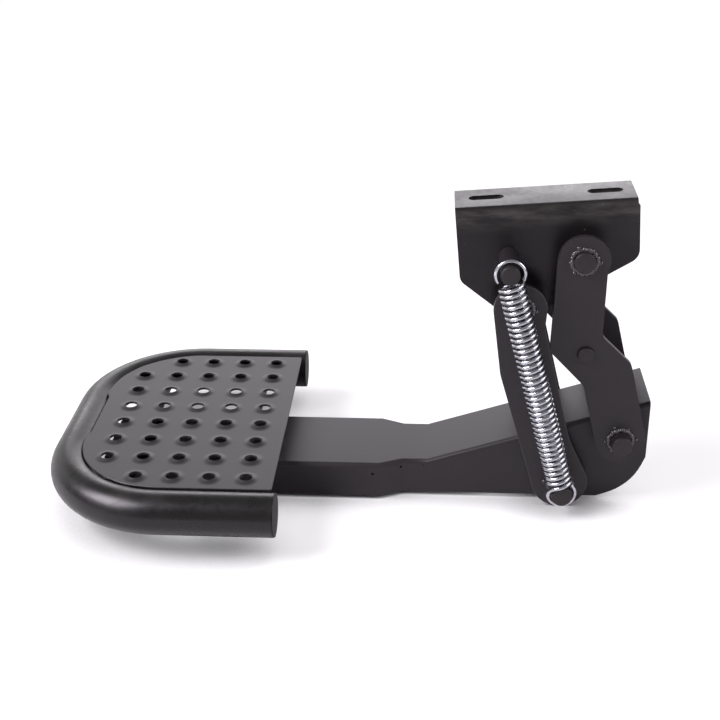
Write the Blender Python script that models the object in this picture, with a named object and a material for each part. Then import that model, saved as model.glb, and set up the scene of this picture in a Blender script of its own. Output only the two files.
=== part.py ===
# Rear bumper step: a folding foot platform on a four-bar linkage under a mounting bracket.
# Metres, +Z up. The origin is the centre of the bracket's top face, +X runs from the step
# to the vehicle, and the return spring is on the -Y side.

import math

import bmesh
import bpy
from mathutils import Vector

# Clearances
WELD_GAP = 0.0003
PIN_CLEARANCE = 0.0003
SIDE_PLAY = 0.0006
STOP_GAP = 0.0004

# Mounting bracket, a folded channel
BRACKET_LENGTH = 0.152
BRACKET_WIDTH = 0.053
BRACKET_SHEET = 0.0040
BRACKET_BEND = 0.0045
BRACKET_TILT = math.radians(4.2)
SLOT_LENGTH = 0.030
SLOT_WIDTH = 0.011
SLOT_SPACING = 0.1005
SLOT_SHIFT = 0.0012
WEB_FRONT_DEPTH = 0.0605
WEB_FRONT_INSET = 0.0012
WEB_FRONT_RADIUS = 0.010
WEB_REAR_DEPTH = 0.045
WEB_REAR_RADIUS = 0.012
WEB_REAR_STEP = 0.0014
WEB_LOBE_RADIUS = 0.0188

# Hinge centres in the bracket's own directions
OUTER_HINGE_SETBACK = 0.0248
OUTER_HINGE_DROP = 0.0848
HINGE_SPACING = 0.0677
HINGE_SLOPE = math.radians(37.1)
LINK_LENGTH = 0.1743
LINK_LEAN = math.radians(14.2)

# Pins and the sleeves that they turn in
PIN_DIAMETER = 0.018
PIN_CHAMFER = 0.0008
PIN_END = 0.0055
LONG_PIN_END = 0.0125
SLEEVE_DIAMETER = 0.026

# Link plates, their drops and rises as shares of the link's length
LINK_INNER_HALF = 0.0441
LINK_PLATE = 0.0055
OUTER_LINK_TOP_RADIUS = 0.0228
OUTER_LINK_FOOT_RADIUS = 0.0246
OUTER_LINK_WAIST = 0.0168
OUTER_LINK_BULGE = 0.0293
OUTER_LINK_BULGE_SHARE = 0.3282
OUTER_LINK_BULGE_RADIUS = 0.030
OUTER_LINK_THROAT_RADIUS = 0.012
OUTER_LINK_THROAT_SHARE = 0.1377
OUTER_LINK_FLARE_RADIUS = 0.030
OUTER_LINK_FLARE_SHARE = 0.2542
INNER_LINK_TOP_RADIUS = 0.0220
INNER_LINK_FOOT_RADIUS = 0.0220
INNER_LINK_THROAT_RADIUS = 0.0040
INNER_LINK_THROAT_EASE = 0.0004
INNER_LINK_THROAT_ANGLE = math.radians(-40)
INNER_LINK_NECK = 0.0030
INNER_LINK_NECK_SHARE = 0.3970
INNER_LINK_KNEE_SHARE = 0.4217
INNER_LINK_KNEE_RADIUS = 0.0083
INNER_LINK_SHIN = 0.0218
INNER_LINK_SHIN_FRONT_SHARE = 0.3345
INNER_LINK_SHIN_REAR_SHARE = 0.3959
INNER_LINK_CORNER_RADIUS = 0.010
TIE_PIN_DIAMETER = 0.014
TIE_PIN_END = 0.0030
TIE_PIN_SHARE = 0.4836
TIE_PIN_SETBACK = 0.0144

# Step arm, a folded channel, measured from its step-side pin
ARM_TOP = 0.0119
ARM_DEPTH = 0.0326
ARM_SHEET = 0.0035
ARM_BEND = 0.0040
ARM_WIDE_HALF = 0.0457
ARM_NARROW_HALF = 0.0364
ARM_REACH = 0.4162
TAPER_REACH = 0.1632
TAPER_LENGTH = 0.0210
RAMP_REACH = 0.1192
RAMP_SLOPE = math.radians(18.2)
ARM_TAIL = 0.0768
ARM_TAIL_RADIUS = 0.0510

# Foot platform
ARM_PAST_PLATFORM = 0.0780
PLATFORM_REACH = ARM_REACH - ARM_PAST_PLATFORM
BAR_WIDTH = 0.0155
BAR_HEIGHT = 0.0199
BAR_WALL = 0.0020
FRONT_BAR_OFFSET = 0.0500
REAR_BAR_OFFSET = 0.0480
TREAD_SHEET = 0.0020
TREAD_SEAT = 0.0161
TREAD_REAR_SETBACK = 0.0020
TREAD_CORNER_RADIUS = 0.0030
TREAD_RECESS_DEPTH = 0.0026
TREAD_RECESS_INSET = 0.0040
TREAD_RECESS_FLANK = 0.0090
TREAD_RECESS_EASE = 0.6
TREAD_MARGIN = 0.0010
HOLE_COLUMNS = 5
HOLE_ROWS = 8
HOLE_RADIUS = 0.0050
DIMPLE_LIP = 0.0012
DIMPLE_BASE_RADIUS = 0.0122
DIMPLE_INSIDE_RADIUS = 0.0106
DIMPLE_HEIGHT = 0.0019
DIMPLE_SIDES = 12

# Rim tube and its end plugs
RIM_DIAMETER = 0.0380
RIM_WALL = 0.0020
RIM_HALF_WIDTH = 0.1400
RIM_FRONT = 0.1033
RIM_REAR = 0.0910
RIM_CORNER_RADIUS = 0.0940
HOLE_PITCH = RIM_HALF_WIDTH * 8.0 / 35.0
PLUG_FLANGE = 0.0010
PLUG_DOME = 0.0012
PLUG_DOME_STEPS = 3
PLUG_STEM = 0.0140
PLUG_SHY = 0.0003

# Return spring
STUD_DIAMETER = 0.016
STUD_SETBACK = 0.0330
STUD_DROP = 0.0438
SPRING_PLANE = 0.0680
STUD_END = 0.0750
WIRE_DIAMETER = 0.0031
COIL_RADIUS = 0.0101
HOOK_RADIUS = 0.0119
COIL_TURNS = 36.8
COIL_START = 0.0170
COIL_END_SHY = 0.0112
LOOP_START = math.radians(-20)
LOOP_END = math.radians(215)
LOOP_PULL = Vector((-0.018, 0.0, -0.022))
COIL_ENTRY_PULL = Vector((0.0, 0.036, -0.002))
COIL_EXIT_PULL = 0.016
HOOK_START = math.radians(12)
HOOK_END = math.radians(212)
HOOK_PULL = Vector((0.004, 0.0, -0.018))

# Mesh fineness
CURVE_STEP = math.radians(15)
CURVE_CHORD = 0.006
SHARP_ANGLE = math.radians(30)
MERGE_DISTANCE = 0.000001
ROUND_SIDES = 16
RIM_SIDES = 20
RIM_CORNER_STEPS = 9
BEND_STEPS = 3
POINTS_PER_TURN = 8
BRIDGE_STEPS = 6
SMALL_TURN = 0.01

# Paint colours with their roughness
COAT_COLOUR = (0.022, 0.021, 0.023)
COAT_ROUGHNESS = 0.45
PLUG_COLOUR = (0.030, 0.028, 0.032)
PLUG_ROUGHNESS = 0.50
ZINC_COLOUR = (0.62, 0.63, 0.66)
ZINC_ROUGHNESS = 0.25


def clear_scene():
    for thing in list(bpy.data.objects):
        bpy.data.objects.remove(thing, do_unlink=True)


def paint(name, colour, roughness, metallic):
    material = bpy.data.materials.new(name)
    material.use_nodes = True
    shader = material.node_tree.nodes["Principled BSDF"]
    shader.inputs["Base Color"].default_value = (*colour, 1.0)
    shader.inputs["Roughness"].default_value = roughness
    shader.inputs["Metallic"].default_value = metallic
    return material


def powder_coat(name):
    return paint(name, COAT_COLOUR, COAT_ROUGHNESS, 0.0)


def frame(name, location, lean):
    """Empty that carries an assembly, its +X end raised by the lean."""
    empty = bpy.data.objects.new(name, None)
    empty.location = location
    empty.rotation_euler = (0.0, -lean, 0.0)
    bpy.context.scene.collection.objects.link(empty)
    return empty


def add_object(name, bm, parent, material=None, smooth=True):
    bmesh.ops.recalc_face_normals(bm, faces=bm.faces)
    mesh = bpy.data.meshes.new(name)
    bm.to_mesh(mesh)
    bm.free()
    if smooth:
        mesh.shade_smooth()
        mesh.set_sharp_from_angle(angle=SHARP_ANGLE)
    item = bpy.data.objects.new(name, mesh)
    item.parent = parent
    bpy.context.scene.collection.objects.link(item)
    if material:
        mesh.materials.append(material)
    return item


def combine(target, tool, operation):
    """Boolean of a piece with a hidden tool in the same frame."""
    tool.hide_render = True
    tool.display_type = "WIRE"
    boolean = target.modifiers.new(tool.name, "BOOLEAN")
    boolean.object = tool
    boolean.operation = operation
    boolean.solver = "EXACT"


def belt(stops):
    """Outline like a belt round discs. A stop is (x, y, radius, side), and side is -1
    where the disc lies outside and hollows the outline."""
    normals = []
    for here, after in zip(stops, stops[1:] + stops[:1]):
        step_x = after[0] - here[0]
        step_y = after[1] - here[1]
        distance = math.hypot(step_x, step_y)
        cosine = (here[2] * here[3] - after[2] * after[3]) / distance
        sine = math.sqrt(1.0 - cosine * cosine)
        across = (step_x * cosine + step_y * sine) / distance
        along = (step_y * cosine - step_x * sine) / distance
        normals.append(math.atan2(along, across))
    outline = []
    for index, (x, y, radius, side) in enumerate(stops):
        start = normals[index - 1]
        turn = ((normals[index] - start) * side) % (2.0 * math.pi)
        steps = 0
        if radius > 0.0:
            steps = max(1, math.ceil(turn / CURVE_STEP), math.ceil(turn * radius / CURVE_CHORD))
        for step in range(steps + 1):
            angle = start + side * turn * step / max(1, steps)
            outline.append((x + side * radius * math.cos(angle), y + side * radius * math.sin(angle)))
    return outline


def prism(bm, outline, low, high, upright=False):
    """Outline pulled out along Y, or along Z where it is upright."""
    if upright:
        corners = [bm.verts.new((x, y, low)) for x, y in outline]
        pull = Vector((0.0, 0.0, high - low))
    else:
        corners = [bm.verts.new((x, low, z)) for x, z in outline]
        pull = Vector((0.0, high - low, 0.0))
    face = bm.faces.new(corners)
    pulled = bmesh.ops.extrude_face_region(bm, geom=[face], use_keep_orig=True)
    moved = [item for item in pulled["geom"] if isinstance(item, bmesh.types.BMVert)]
    bmesh.ops.translate(bm, verts=moved, vec=pull)


def turn_profile(bm, profile, centre, closed, axis=(0.0, 1.0, 0.0), sides=ROUND_SIDES):
    """Profile of (radius, position) spun about an axis along Y or X through the centre."""
    start = Vector(centre)
    along = Vector(axis)
    verts = [bm.verts.new(start + along * place + Vector((0.0, 0.0, radius))) for radius, place in profile]
    edges = [bm.edges.new(pair) for pair in zip(verts, verts[1:])]
    if closed:
        edges.append(bm.edges.new((verts[-1], verts[0])))
    bmesh.ops.spin(bm, geom=verts + edges, cent=start, axis=along, angle=2.0 * math.pi,
                   steps=sides, use_merge=True)
    bmesh.ops.remove_doubles(bm, verts=bm.verts, dist=MERGE_DISTANCE)


def pin_profile(radius, low, high):
    return [(0.0, low), (radius - PIN_CHAMFER, low), (radius, low + PIN_CHAMFER),
            (radius, high - PIN_CHAMFER), (radius - PIN_CHAMFER, high), (0.0, high)]


def make_pin(name, parent, place, radius, low, high):
    bm = bmesh.new()
    turn_profile(bm, pin_profile(radius, low, high), (place[0], 0.0, place[1]), False)
    return add_object(name, bm, parent, powder_coat(name))


def make_sleeve(name, parent, place):
    outer = SLEEVE_DIAMETER / 2.0
    bore = PIN_DIAMETER / 2.0 + PIN_CLEARANCE
    half = LINK_INNER_HALF - SIDE_PLAY
    bm = bmesh.new()
    ring = [(bore, -half), (outer, -half), (outer, half), (bore, half)]
    turn_profile(bm, ring, (place[0], 0.0, place[1]), True)
    return add_object(name, bm, parent, powder_coat(name))


def drill(target, parent, holes, low, high):
    """Round holes along Y through a piece, each one (x, z, radius)."""
    bm = bmesh.new()
    for x, z, radius in holes:
        drill_bit = [(0.0, low), (radius, low), (radius, high), (0.0, high)]
        turn_profile(bm, drill_bit, (x, 0.0, z), False)
    combine(target, add_object(target.name + "_drill", bm, parent, smooth=False), "DIFFERENCE")


def channel_section(half, top, bottom, sheet, bend):
    """Outer and inner paths of an inverted U, from one lower edge round to the other."""
    paths = []
    for inset in (0.0, sheet):
        radius = bend - inset
        corner_y = half - bend
        corner_z = top - bend
        path = [(-half + inset, bottom)]
        for side, first in ((-1.0, math.pi), (1.0, math.pi / 2.0)):
            for step in range(BEND_STEPS + 1):
                angle = first - math.pi / 2.0 * step / BEND_STEPS
                path.append((side * corner_y + radius * math.cos(angle),
                             corner_z + radius * math.sin(angle)))
        path.append((half - inset, bottom))
        paths.append(path)
    return paths


def channel(bm, stations, bottom, sheet, bend):
    """Folded channel lofted along X through stations of (x, half width, top)."""
    rows = []
    for x, half, top in stations:
        outer, inner = channel_section(half, top, bottom, sheet, bend)
        loop = outer + inner[::-1]
        rows.append([bm.verts.new((x, y, z)) for y, z in loop])
    count = len(rows[0])
    for here, after in zip(rows, rows[1:]):
        for index in range(count):
            following = (index + 1) % count
            bm.faces.new((here[index], here[following], after[following], after[index]))
    for row in (rows[0], rows[-1]):
        for index in range(count // 2 - 1):
            bm.faces.new((row[index], row[index + 1], row[count - 2 - index], row[count - 1 - index]))


def bracket_place(along, drop):
    """World place of a point of the tilted bracket."""
    x = along * math.cos(BRACKET_TILT) + drop * math.sin(BRACKET_TILT)
    z = along * math.sin(BRACKET_TILT) - drop * math.cos(BRACKET_TILT)
    return Vector((x, 0.0, z))


def hinge_places():
    """World places of the four pivots, which form a parallelogram."""
    outer_top = bracket_place(-OUTER_HINGE_SETBACK, OUTER_HINGE_DROP)
    rise = BRACKET_TILT + HINGE_SLOPE
    spacing = Vector((math.cos(rise), 0.0, math.sin(rise))) * HINGE_SPACING
    drop = Vector((math.sin(LINK_LEAN), 0.0, -math.cos(LINK_LEAN))) * LINK_LENGTH
    return outer_top, outer_top + spacing, outer_top + drop, spacing


def make_bracket():
    holder = frame("bracket_frame", (0.0, 0.0, 0.0), BRACKET_TILT)
    half_length = BRACKET_LENGTH / 2.0
    half_width = BRACKET_WIDTH / 2.0
    outer_hinge = (-OUTER_HINGE_SETBACK, -OUTER_HINGE_DROP)
    inner_hinge = (outer_hinge[0] + HINGE_SPACING * math.cos(HINGE_SLOPE),
                   outer_hinge[1] + HINGE_SPACING * math.sin(HINGE_SLOPE))
    stud = (-STUD_SETBACK, -STUD_DROP)
    deep = OUTER_HINGE_DROP + 2.0 * WEB_LOBE_RADIUS

    bm = bmesh.new()
    ends = [(-BRACKET_LENGTH, half_width, 0.0), (BRACKET_LENGTH, half_width, 0.0)]
    channel(bm, ends, -deep, BRACKET_SHEET, BRACKET_BEND)
    bracket = add_object("mount_bracket", bm, holder, powder_coat("mount_bracket"))

    bm = bmesh.new()
    overhang = BRACKET_SHEET
    web_rear = half_length + WEB_REAR_STEP
    outline = belt([
        (half_length, overhang, 0.0, 1),
        (-half_length, overhang, 0.0, 1),
        (-half_length + WEB_FRONT_INSET + WEB_FRONT_RADIUS, -WEB_FRONT_DEPTH, WEB_FRONT_RADIUS, 1),
        (outer_hinge[0], outer_hinge[1], WEB_LOBE_RADIUS, 1),
        (web_rear - WEB_REAR_RADIUS, -WEB_REAR_DEPTH, WEB_REAR_RADIUS, 1),
        (web_rear, -BRACKET_BEND - WEB_REAR_STEP, 0.0, 1),
        (half_length, -BRACKET_BEND, 0.0, 1),
    ])
    prism(bm, outline, -BRACKET_WIDTH, BRACKET_WIDTH)
    combine(bracket, add_object("bracket_outline", bm, holder, smooth=False), "INTERSECT")

    bm = bmesh.new()
    end_radius = SLOT_WIDTH / 2.0
    reach = SLOT_LENGTH / 2.0 - end_radius
    for centre in (SLOT_SHIFT - SLOT_SPACING / 2.0, SLOT_SHIFT + SLOT_SPACING / 2.0):
        slot = belt([(centre + reach, 0.0, end_radius, 1), (centre - reach, 0.0, end_radius, 1)])
        prism(bm, slot, -2.0 * BRACKET_SHEET, BRACKET_SHEET, upright=True)
    combine(bracket, add_object("bracket_slots", bm, holder, smooth=False), "DIFFERENCE")

    sleeve_hole = SLEEVE_DIAMETER / 2.0 + WELD_GAP
    holes = [(*outer_hinge, sleeve_hole), (*inner_hinge, sleeve_hole)]
    drill(bracket, holder, holes, -BRACKET_WIDTH, BRACKET_WIDTH)
    make_sleeve("outer_hinge_sleeve", holder, outer_hinge)
    make_sleeve("inner_hinge_sleeve", holder, inner_hinge)
    make_pin("spring_stud", holder, stud, STUD_DIAMETER / 2.0, -STUD_END, -half_width - WELD_GAP)


def outer_link_outline():
    """Step-side plate in its own frame: upper hinge at the origin, lower hinge below it."""
    foot = -LINK_LENGTH
    return belt([
        (0.0, 0.0, OUTER_LINK_TOP_RADIUS, 1),
        (OUTER_LINK_BULGE_RADIUS - OUTER_LINK_BULGE, foot * OUTER_LINK_BULGE_SHARE,
         OUTER_LINK_BULGE_RADIUS, 1),
        (0.0, foot, OUTER_LINK_FOOT_RADIUS, 1),
        (OUTER_LINK_WAIST + OUTER_LINK_FLARE_RADIUS, foot * (1.0 - OUTER_LINK_FLARE_SHARE),
         OUTER_LINK_FLARE_RADIUS, -1),
        (OUTER_LINK_WAIST + OUTER_LINK_THROAT_RADIUS, foot * OUTER_LINK_THROAT_SHARE,
         OUTER_LINK_THROAT_RADIUS, -1),
    ])


def inner_link_outline():
    """Vehicle-side plate, whose knee stops against the waist of the step-side plate."""
    foot = -LINK_LENGTH
    lane = HINGE_SPACING * math.cos(BRACKET_TILT + HINGE_SLOPE - LINK_LEAN)
    knee = INNER_LINK_KNEE_RADIUS + OUTER_LINK_WAIST + STOP_GAP - lane
    corner = INNER_LINK_CORNER_RADIUS
    throat = INNER_LINK_THROAT_RADIUS
    throat_reach = INNER_LINK_TOP_RADIUS + throat + INNER_LINK_THROAT_EASE
    return belt([
        (0.0, 0.0, INNER_LINK_TOP_RADIUS, 1),
        (knee, foot * INNER_LINK_KNEE_SHARE, INNER_LINK_KNEE_RADIUS, 1),
        (-INNER_LINK_SHIN - corner, foot * (1.0 - INNER_LINK_SHIN_FRONT_SHARE), corner, -1),
        (0.0, foot, INNER_LINK_FOOT_RADIUS, 1),
        (INNER_LINK_SHIN - corner, foot * (1.0 - INNER_LINK_SHIN_REAR_SHARE), corner, 1),
        (INNER_LINK_NECK + corner, foot * INNER_LINK_NECK_SHARE, corner, -1),
        (throat_reach * math.cos(INNER_LINK_THROAT_ANGLE),
         throat_reach * math.sin(INNER_LINK_THROAT_ANGLE), throat, -1),
    ])


def make_link_plates(label, parent, outline, holes):
    outer_half = LINK_INNER_HALF + LINK_PLATE
    for side, low in (("near", -outer_half), ("far", LINK_INNER_HALF)):
        name = f"{label}_{side}"
        bm = bmesh.new()
        prism(bm, outline, low, low + LINK_PLATE)
        plate = add_object(name, bm, parent, powder_coat(name))
        drill(plate, parent, holes, low - LINK_PLATE, low + 2.0 * LINK_PLATE)


def make_links():
    outer_top, inner_top, _, _ = hinge_places()
    radius = PIN_DIAMETER / 2.0
    hole = radius + WELD_GAP
    end = LINK_INNER_HALF + LINK_PLATE + PIN_END
    long_end = LINK_INNER_HALF + LINK_PLATE + LONG_PIN_END
    foot = -LINK_LENGTH

    outer = frame("outer_link_frame", outer_top, LINK_LEAN)
    pivots = [(0.0, 0.0, hole), (0.0, foot, hole)]
    make_link_plates("outer_link", outer, outer_link_outline(), pivots)
    make_pin("outer_hinge_pin", outer, (0.0, 0.0), radius, -end, end)
    make_pin("lower_outer_pin", outer, (0.0, foot), radius, -STUD_END, end)

    inner = frame("inner_link_frame", inner_top, LINK_LEAN)
    tie = (-TIE_PIN_SETBACK, foot * TIE_PIN_SHARE)
    tie_radius = TIE_PIN_DIAMETER / 2.0
    tie_end = LINK_INNER_HALF + LINK_PLATE + TIE_PIN_END
    make_link_plates("inner_link", inner, inner_link_outline(), pivots + [(*tie, tie_radius + WELD_GAP)])
    make_pin("inner_hinge_pin", inner, (0.0, 0.0), radius, -end, end)
    make_pin("lower_inner_pin", inner, (0.0, foot), radius, -long_end, end)
    make_pin("tie_pin", inner, tie, tie_radius, -tie_end, tie_end)


def make_arm(holder, inner_pivot):
    bottom = ARM_TOP - ARM_DEPTH
    taper_end = -TAPER_REACH + TAPER_LENGTH
    tail_top = ARM_TOP + (RAMP_REACH + ARM_TAIL) * math.tan(RAMP_SLOPE)
    stations = [
        (-ARM_REACH, ARM_WIDE_HALF, ARM_TOP),
        (-TAPER_REACH, ARM_WIDE_HALF, ARM_TOP),
        (taper_end, ARM_NARROW_HALF, ARM_TOP),
        (-RAMP_REACH, ARM_NARROW_HALF, ARM_TOP),
        (ARM_TAIL, ARM_NARROW_HALF, tail_top),
    ]
    bm = bmesh.new()
    channel(bm, stations, bottom, ARM_SHEET, ARM_BEND)
    arm = add_object("step_arm", bm, holder, powder_coat("step_arm"))

    overhang = ARM_SHEET
    corner = belt([
        (ARM_TAIL + overhang, bottom - overhang, 0.0, 1),
        (ARM_TAIL + overhang, bottom + ARM_TAIL_RADIUS, 0.0, 1),
        (ARM_TAIL - ARM_TAIL_RADIUS, bottom + ARM_TAIL_RADIUS, ARM_TAIL_RADIUS, -1),
        (ARM_TAIL - ARM_TAIL_RADIUS, bottom - overhang, 0.0, 1),
    ])
    bm = bmesh.new()
    prism(bm, corner, -2.0 * ARM_WIDE_HALF, 2.0 * ARM_WIDE_HALF)
    combine(arm, add_object("arm_corner", bm, holder, smooth=False), "DIFFERENCE")

    sleeve_hole = SLEEVE_DIAMETER / 2.0 + WELD_GAP
    holes = [(0.0, 0.0, sleeve_hole), (inner_pivot.x, inner_pivot.z, sleeve_hole)]
    drill(arm, holder, holes, -2.0 * ARM_WIDE_HALF, 2.0 * ARM_WIDE_HALF)
    make_sleeve("lower_outer_sleeve", holder, (0.0, 0.0))
    make_sleeve("lower_inner_sleeve", holder, (inner_pivot.x, inner_pivot.z))


def rim_inside(x):
    """Half width between the inner flanks of the rim tube, x measured from the platform's centre."""
    radius = RIM_CORNER_RADIUS - RIM_DIAMETER / 2.0
    short_of_corner = max(0.0, RIM_CORNER_RADIUS - RIM_FRONT - x)
    bulge = math.sqrt(radius ** 2 - short_of_corner ** 2)
    return RIM_HALF_WIDTH - RIM_CORNER_RADIUS + bulge - WELD_GAP


def make_cross_bar(name, holder, centre_x, offset, low):
    """Square tube across the arm, its ends cut to meet the rim tube."""
    rows = []
    bm = bmesh.new()
    for inset in (0.0, BAR_WALL):
        sides = (offset - BAR_WIDTH / 2.0, offset + BAR_WIDTH / 2.0)
        foot, head = low + inset, low + BAR_HEIGHT - inset
        near, far = sides[0] + inset, sides[1] - inset
        slant = (rim_inside(sides[1]) - rim_inside(sides[0])) / BAR_WIDTH
        corners = ((near, foot), (far, foot), (far, head), (near, head))
        for side in (-1.0, 1.0):
            row = []
            for x, z in corners:
                y = side * (rim_inside(sides[0]) + slant * (x - sides[0]))
                row.append(bm.verts.new((centre_x + x, y, z)))
            rows.append(row)
    for first, second in ((0, 1), (2, 3), (0, 2), (1, 3)):
        for index in range(4):
            following = (index + 1) % 4
            bm.faces.new((rows[first][index], rows[first][following],
                          rows[second][following], rows[second][index]))
    return add_object(name, bm, holder, powder_coat(name), smooth=False)


def rim_path():
    """Centre line of the rim in plan: rear end, front corner, front corner, rear end."""
    straight = RIM_HALF_WIDTH - RIM_CORNER_RADIUS
    corner_x = RIM_CORNER_RADIUS - RIM_FRONT
    path = [((RIM_REAR, -RIM_HALF_WIDTH), math.pi)]
    for centre_y, first in ((-straight, -math.pi / 2.0), (straight, math.pi)):
        for step in range(RIM_CORNER_STEPS + 1):
            angle = first - math.pi / 2.0 * step / RIM_CORNER_STEPS
            place = (corner_x + RIM_CORNER_RADIUS * math.cos(angle),
                     centre_y + RIM_CORNER_RADIUS * math.sin(angle))
            path.append((place, angle - math.pi / 2.0))
    path.append(((RIM_REAR, RIM_HALF_WIDTH), 0.0))
    return path


def make_rim_tube(holder, centre_x, centre_z):
    bm = bmesh.new()
    skins = []
    for radius in (RIM_DIAMETER / 2.0, RIM_DIAMETER / 2.0 - RIM_WALL):
        rings = []
        for (x, y), heading in rim_path():
            ring = []
            for index in range(RIM_SIDES):
                angle = 2.0 * math.pi * index / RIM_SIDES
                out = radius * math.cos(angle)
                place = (centre_x + x - out * math.sin(heading), y + out * math.cos(heading),
                         centre_z + radius * math.sin(angle))
                ring.append(bm.verts.new(place))
            rings.append(ring)
        skins.append(rings)
    outer, inner = skins
    strips = list(zip(outer, outer[1:])) + list(zip(inner, inner[1:]))
    strips += [(outer[0], inner[0]), (outer[-1], inner[-1])]
    for first, second in strips:
        for index in range(RIM_SIDES):
            following = (index + 1) % RIM_SIDES
            bm.faces.new((first[index], first[following], second[following], second[index]))
    add_object("rim_tube", bm, holder, powder_coat("rim_tube"))

    flange_radius = RIM_DIAMETER / 2.0 - PLUG_SHY
    stem_radius = RIM_DIAMETER / 2.0 - RIM_WALL - WELD_GAP
    profile = [(0.0, -PLUG_STEM), (stem_radius, -PLUG_STEM), (stem_radius, WELD_GAP),
               (flange_radius, WELD_GAP)]
    for step in range(PLUG_DOME_STEPS + 1):
        share = 1.0 - step / PLUG_DOME_STEPS
        profile.append((flange_radius * share, WELD_GAP + PLUG_FLANGE + PLUG_DOME * (1.0 - share ** 2)))
    for name, y in (("tube_plug_near", -RIM_HALF_WIDTH), ("tube_plug_far", RIM_HALF_WIDTH)):
        bm = bmesh.new()
        place = (centre_x + RIM_REAR, y, centre_z)
        turn_profile(bm, profile, place, False, axis=(1.0, 0.0, 0.0))
        add_object(name, bm, holder, paint(name, PLUG_COLOUR, PLUG_ROUGHNESS, 0.0))


def tread_sides():
    """Front, rear, half width, corner centre and corner radius of the tread sheet in plan, from
    the platform's centre. The sheet lies on the inner flank of the rim tube."""
    inset = math.sqrt((RIM_DIAMETER / 2.0) ** 2 - TREAD_SEAT ** 2) + WELD_GAP
    corner = (RIM_CORNER_RADIUS - RIM_FRONT, RIM_HALF_WIDTH - RIM_CORNER_RADIUS)
    return (inset - RIM_FRONT, RIM_REAR - TREAD_REAR_SETBACK, RIM_HALF_WIDTH - inset,
            corner, RIM_CORNER_RADIUS - inset)


def tread_outline():
    """Plan of the tread sheet, its front edge drawn back in a shallow recess."""
    front, rear, half, (corner_x, corner_y), corner_radius = tread_sides()
    small = TREAD_CORNER_RADIUS
    recess = front + TREAD_RECESS_DEPTH
    shoulder = corner_y - TREAD_RECESS_INSET
    hollow = shoulder - TREAD_RECESS_FLANK
    # Two equal arcs of the largest radius would fill the flank without a straight between them
    largest = (TREAD_RECESS_DEPTH ** 2 + TREAD_RECESS_FLANK ** 2) / (4.0 * TREAD_RECESS_DEPTH)
    ease = largest * TREAD_RECESS_EASE
    return belt([
        (rear - small, small - half, small, 1),
        (rear - small, half - small, small, 1),
        (corner_x, corner_y, corner_radius, 1),
        (front + ease, shoulder, ease, 1),
        (recess - ease, hollow, ease, -1),
        (recess - ease, -hollow, ease, -1),
        (front + ease, -shoulder, ease, 1),
        (corner_x, -corner_y, corner_radius, 1),
    ])


def room_on_tread(x, y):
    """Distance from a place on the tread to the nearest side of the sheet."""
    front, rear, half, (corner_x, corner_y), corner_radius = tread_sides()
    if x < corner_x and abs(y) > corner_y:
        return corner_radius - math.hypot(corner_x - x, abs(y) - corner_y)
    return min(x - front - TREAD_RECESS_DEPTH, rear - x, half - abs(y))


def hole_places():
    """Square grid of tread holes, without those that the front corners cut off."""
    places = []
    for column in range(HOLE_COLUMNS):
        for row in range(HOLE_ROWS):
            x = (column - (HOLE_COLUMNS - 1) / 2.0) * HOLE_PITCH
            y = (row - (HOLE_ROWS - 1) / 2.0) * HOLE_PITCH
            if room_on_tread(x, y) > DIMPLE_BASE_RADIUS + TREAD_MARGIN:
                places.append((x, y))
    return places


def make_tread(holder, centre_x, low):
    """Sheet with pressed-up holes: two flat skins with round windows, joined by dimples."""
    high = low + TREAD_SHEET
    rim = high + DIMPLE_HEIGHT
    profile = [
        (DIMPLE_BASE_RADIUS, high),
        (HOLE_RADIUS + DIMPLE_LIP, rim),
        (HOLE_RADIUS, rim),
        (HOLE_RADIUS, rim - TREAD_SHEET),
        (DIMPLE_INSIDE_RADIUS, low),
    ]
    bm = bmesh.new()

    def loop(points, z):
        verts = [bm.verts.new((centre_x + x, y, z)) for x, y in points]
        edges = [bm.edges.new(pair) for pair in zip(verts, verts[1:] + verts[:1])]
        return verts, edges

    def join(first, second):
        for index in range(len(first)):
            following = (index + 1) % len(first)
            bm.faces.new((first[index], first[following], second[following], second[index]))

    outline = tread_outline()
    top_verts, top_edges = loop(outline, high)
    low_verts, low_edges = loop(outline, low)
    join(top_verts, low_verts)
    for x, y in hole_places():
        rings = []
        for radius, z in profile:
            angles = [2.0 * math.pi * (step + 0.5) / DIMPLE_SIDES for step in range(DIMPLE_SIDES)]
            rings.append(loop([(x + radius * math.cos(a), y + radius * math.sin(a)) for a in angles], z))
        for (first, _), (second, _) in zip(rings, rings[1:]):
            join(first, second)
        top_edges += rings[0][1]
        low_edges += rings[-1][1]
    for edges in (top_edges, low_edges):
        bmesh.ops.triangle_fill(bm, edges=edges, use_beauty=True, use_dissolve=False)
    add_object("tread_plate", bm, holder, powder_coat("tread_plate"))


def make_platform(holder):
    centre_x = -PLATFORM_REACH
    bar_low = ARM_TOP + WELD_GAP
    tread_low = bar_low + BAR_HEIGHT + WELD_GAP
    make_cross_bar("front_cross_bar", holder, centre_x, -FRONT_BAR_OFFSET, bar_low)
    make_cross_bar("rear_cross_bar", holder, centre_x, REAR_BAR_OFFSET, bar_low)
    make_rim_tube(holder, centre_x, tread_low - TREAD_SEAT)
    make_tread(holder, centre_x, tread_low)


def bridge(start, start_pull, end, end_pull):
    """Smooth run of wire between two places, with the given pulls at its ends."""
    points = []
    for step in range(1, BRIDGE_STEPS):
        t = step / BRIDGE_STEPS
        points.append(start * (2 * t ** 3 - 3 * t ** 2 + 1) + start_pull * (t ** 3 - 2 * t ** 2 + t)
                      + end * (3 * t ** 2 - 2 * t ** 3) + end_pull * (t ** 3 - t ** 2))
    return points


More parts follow.
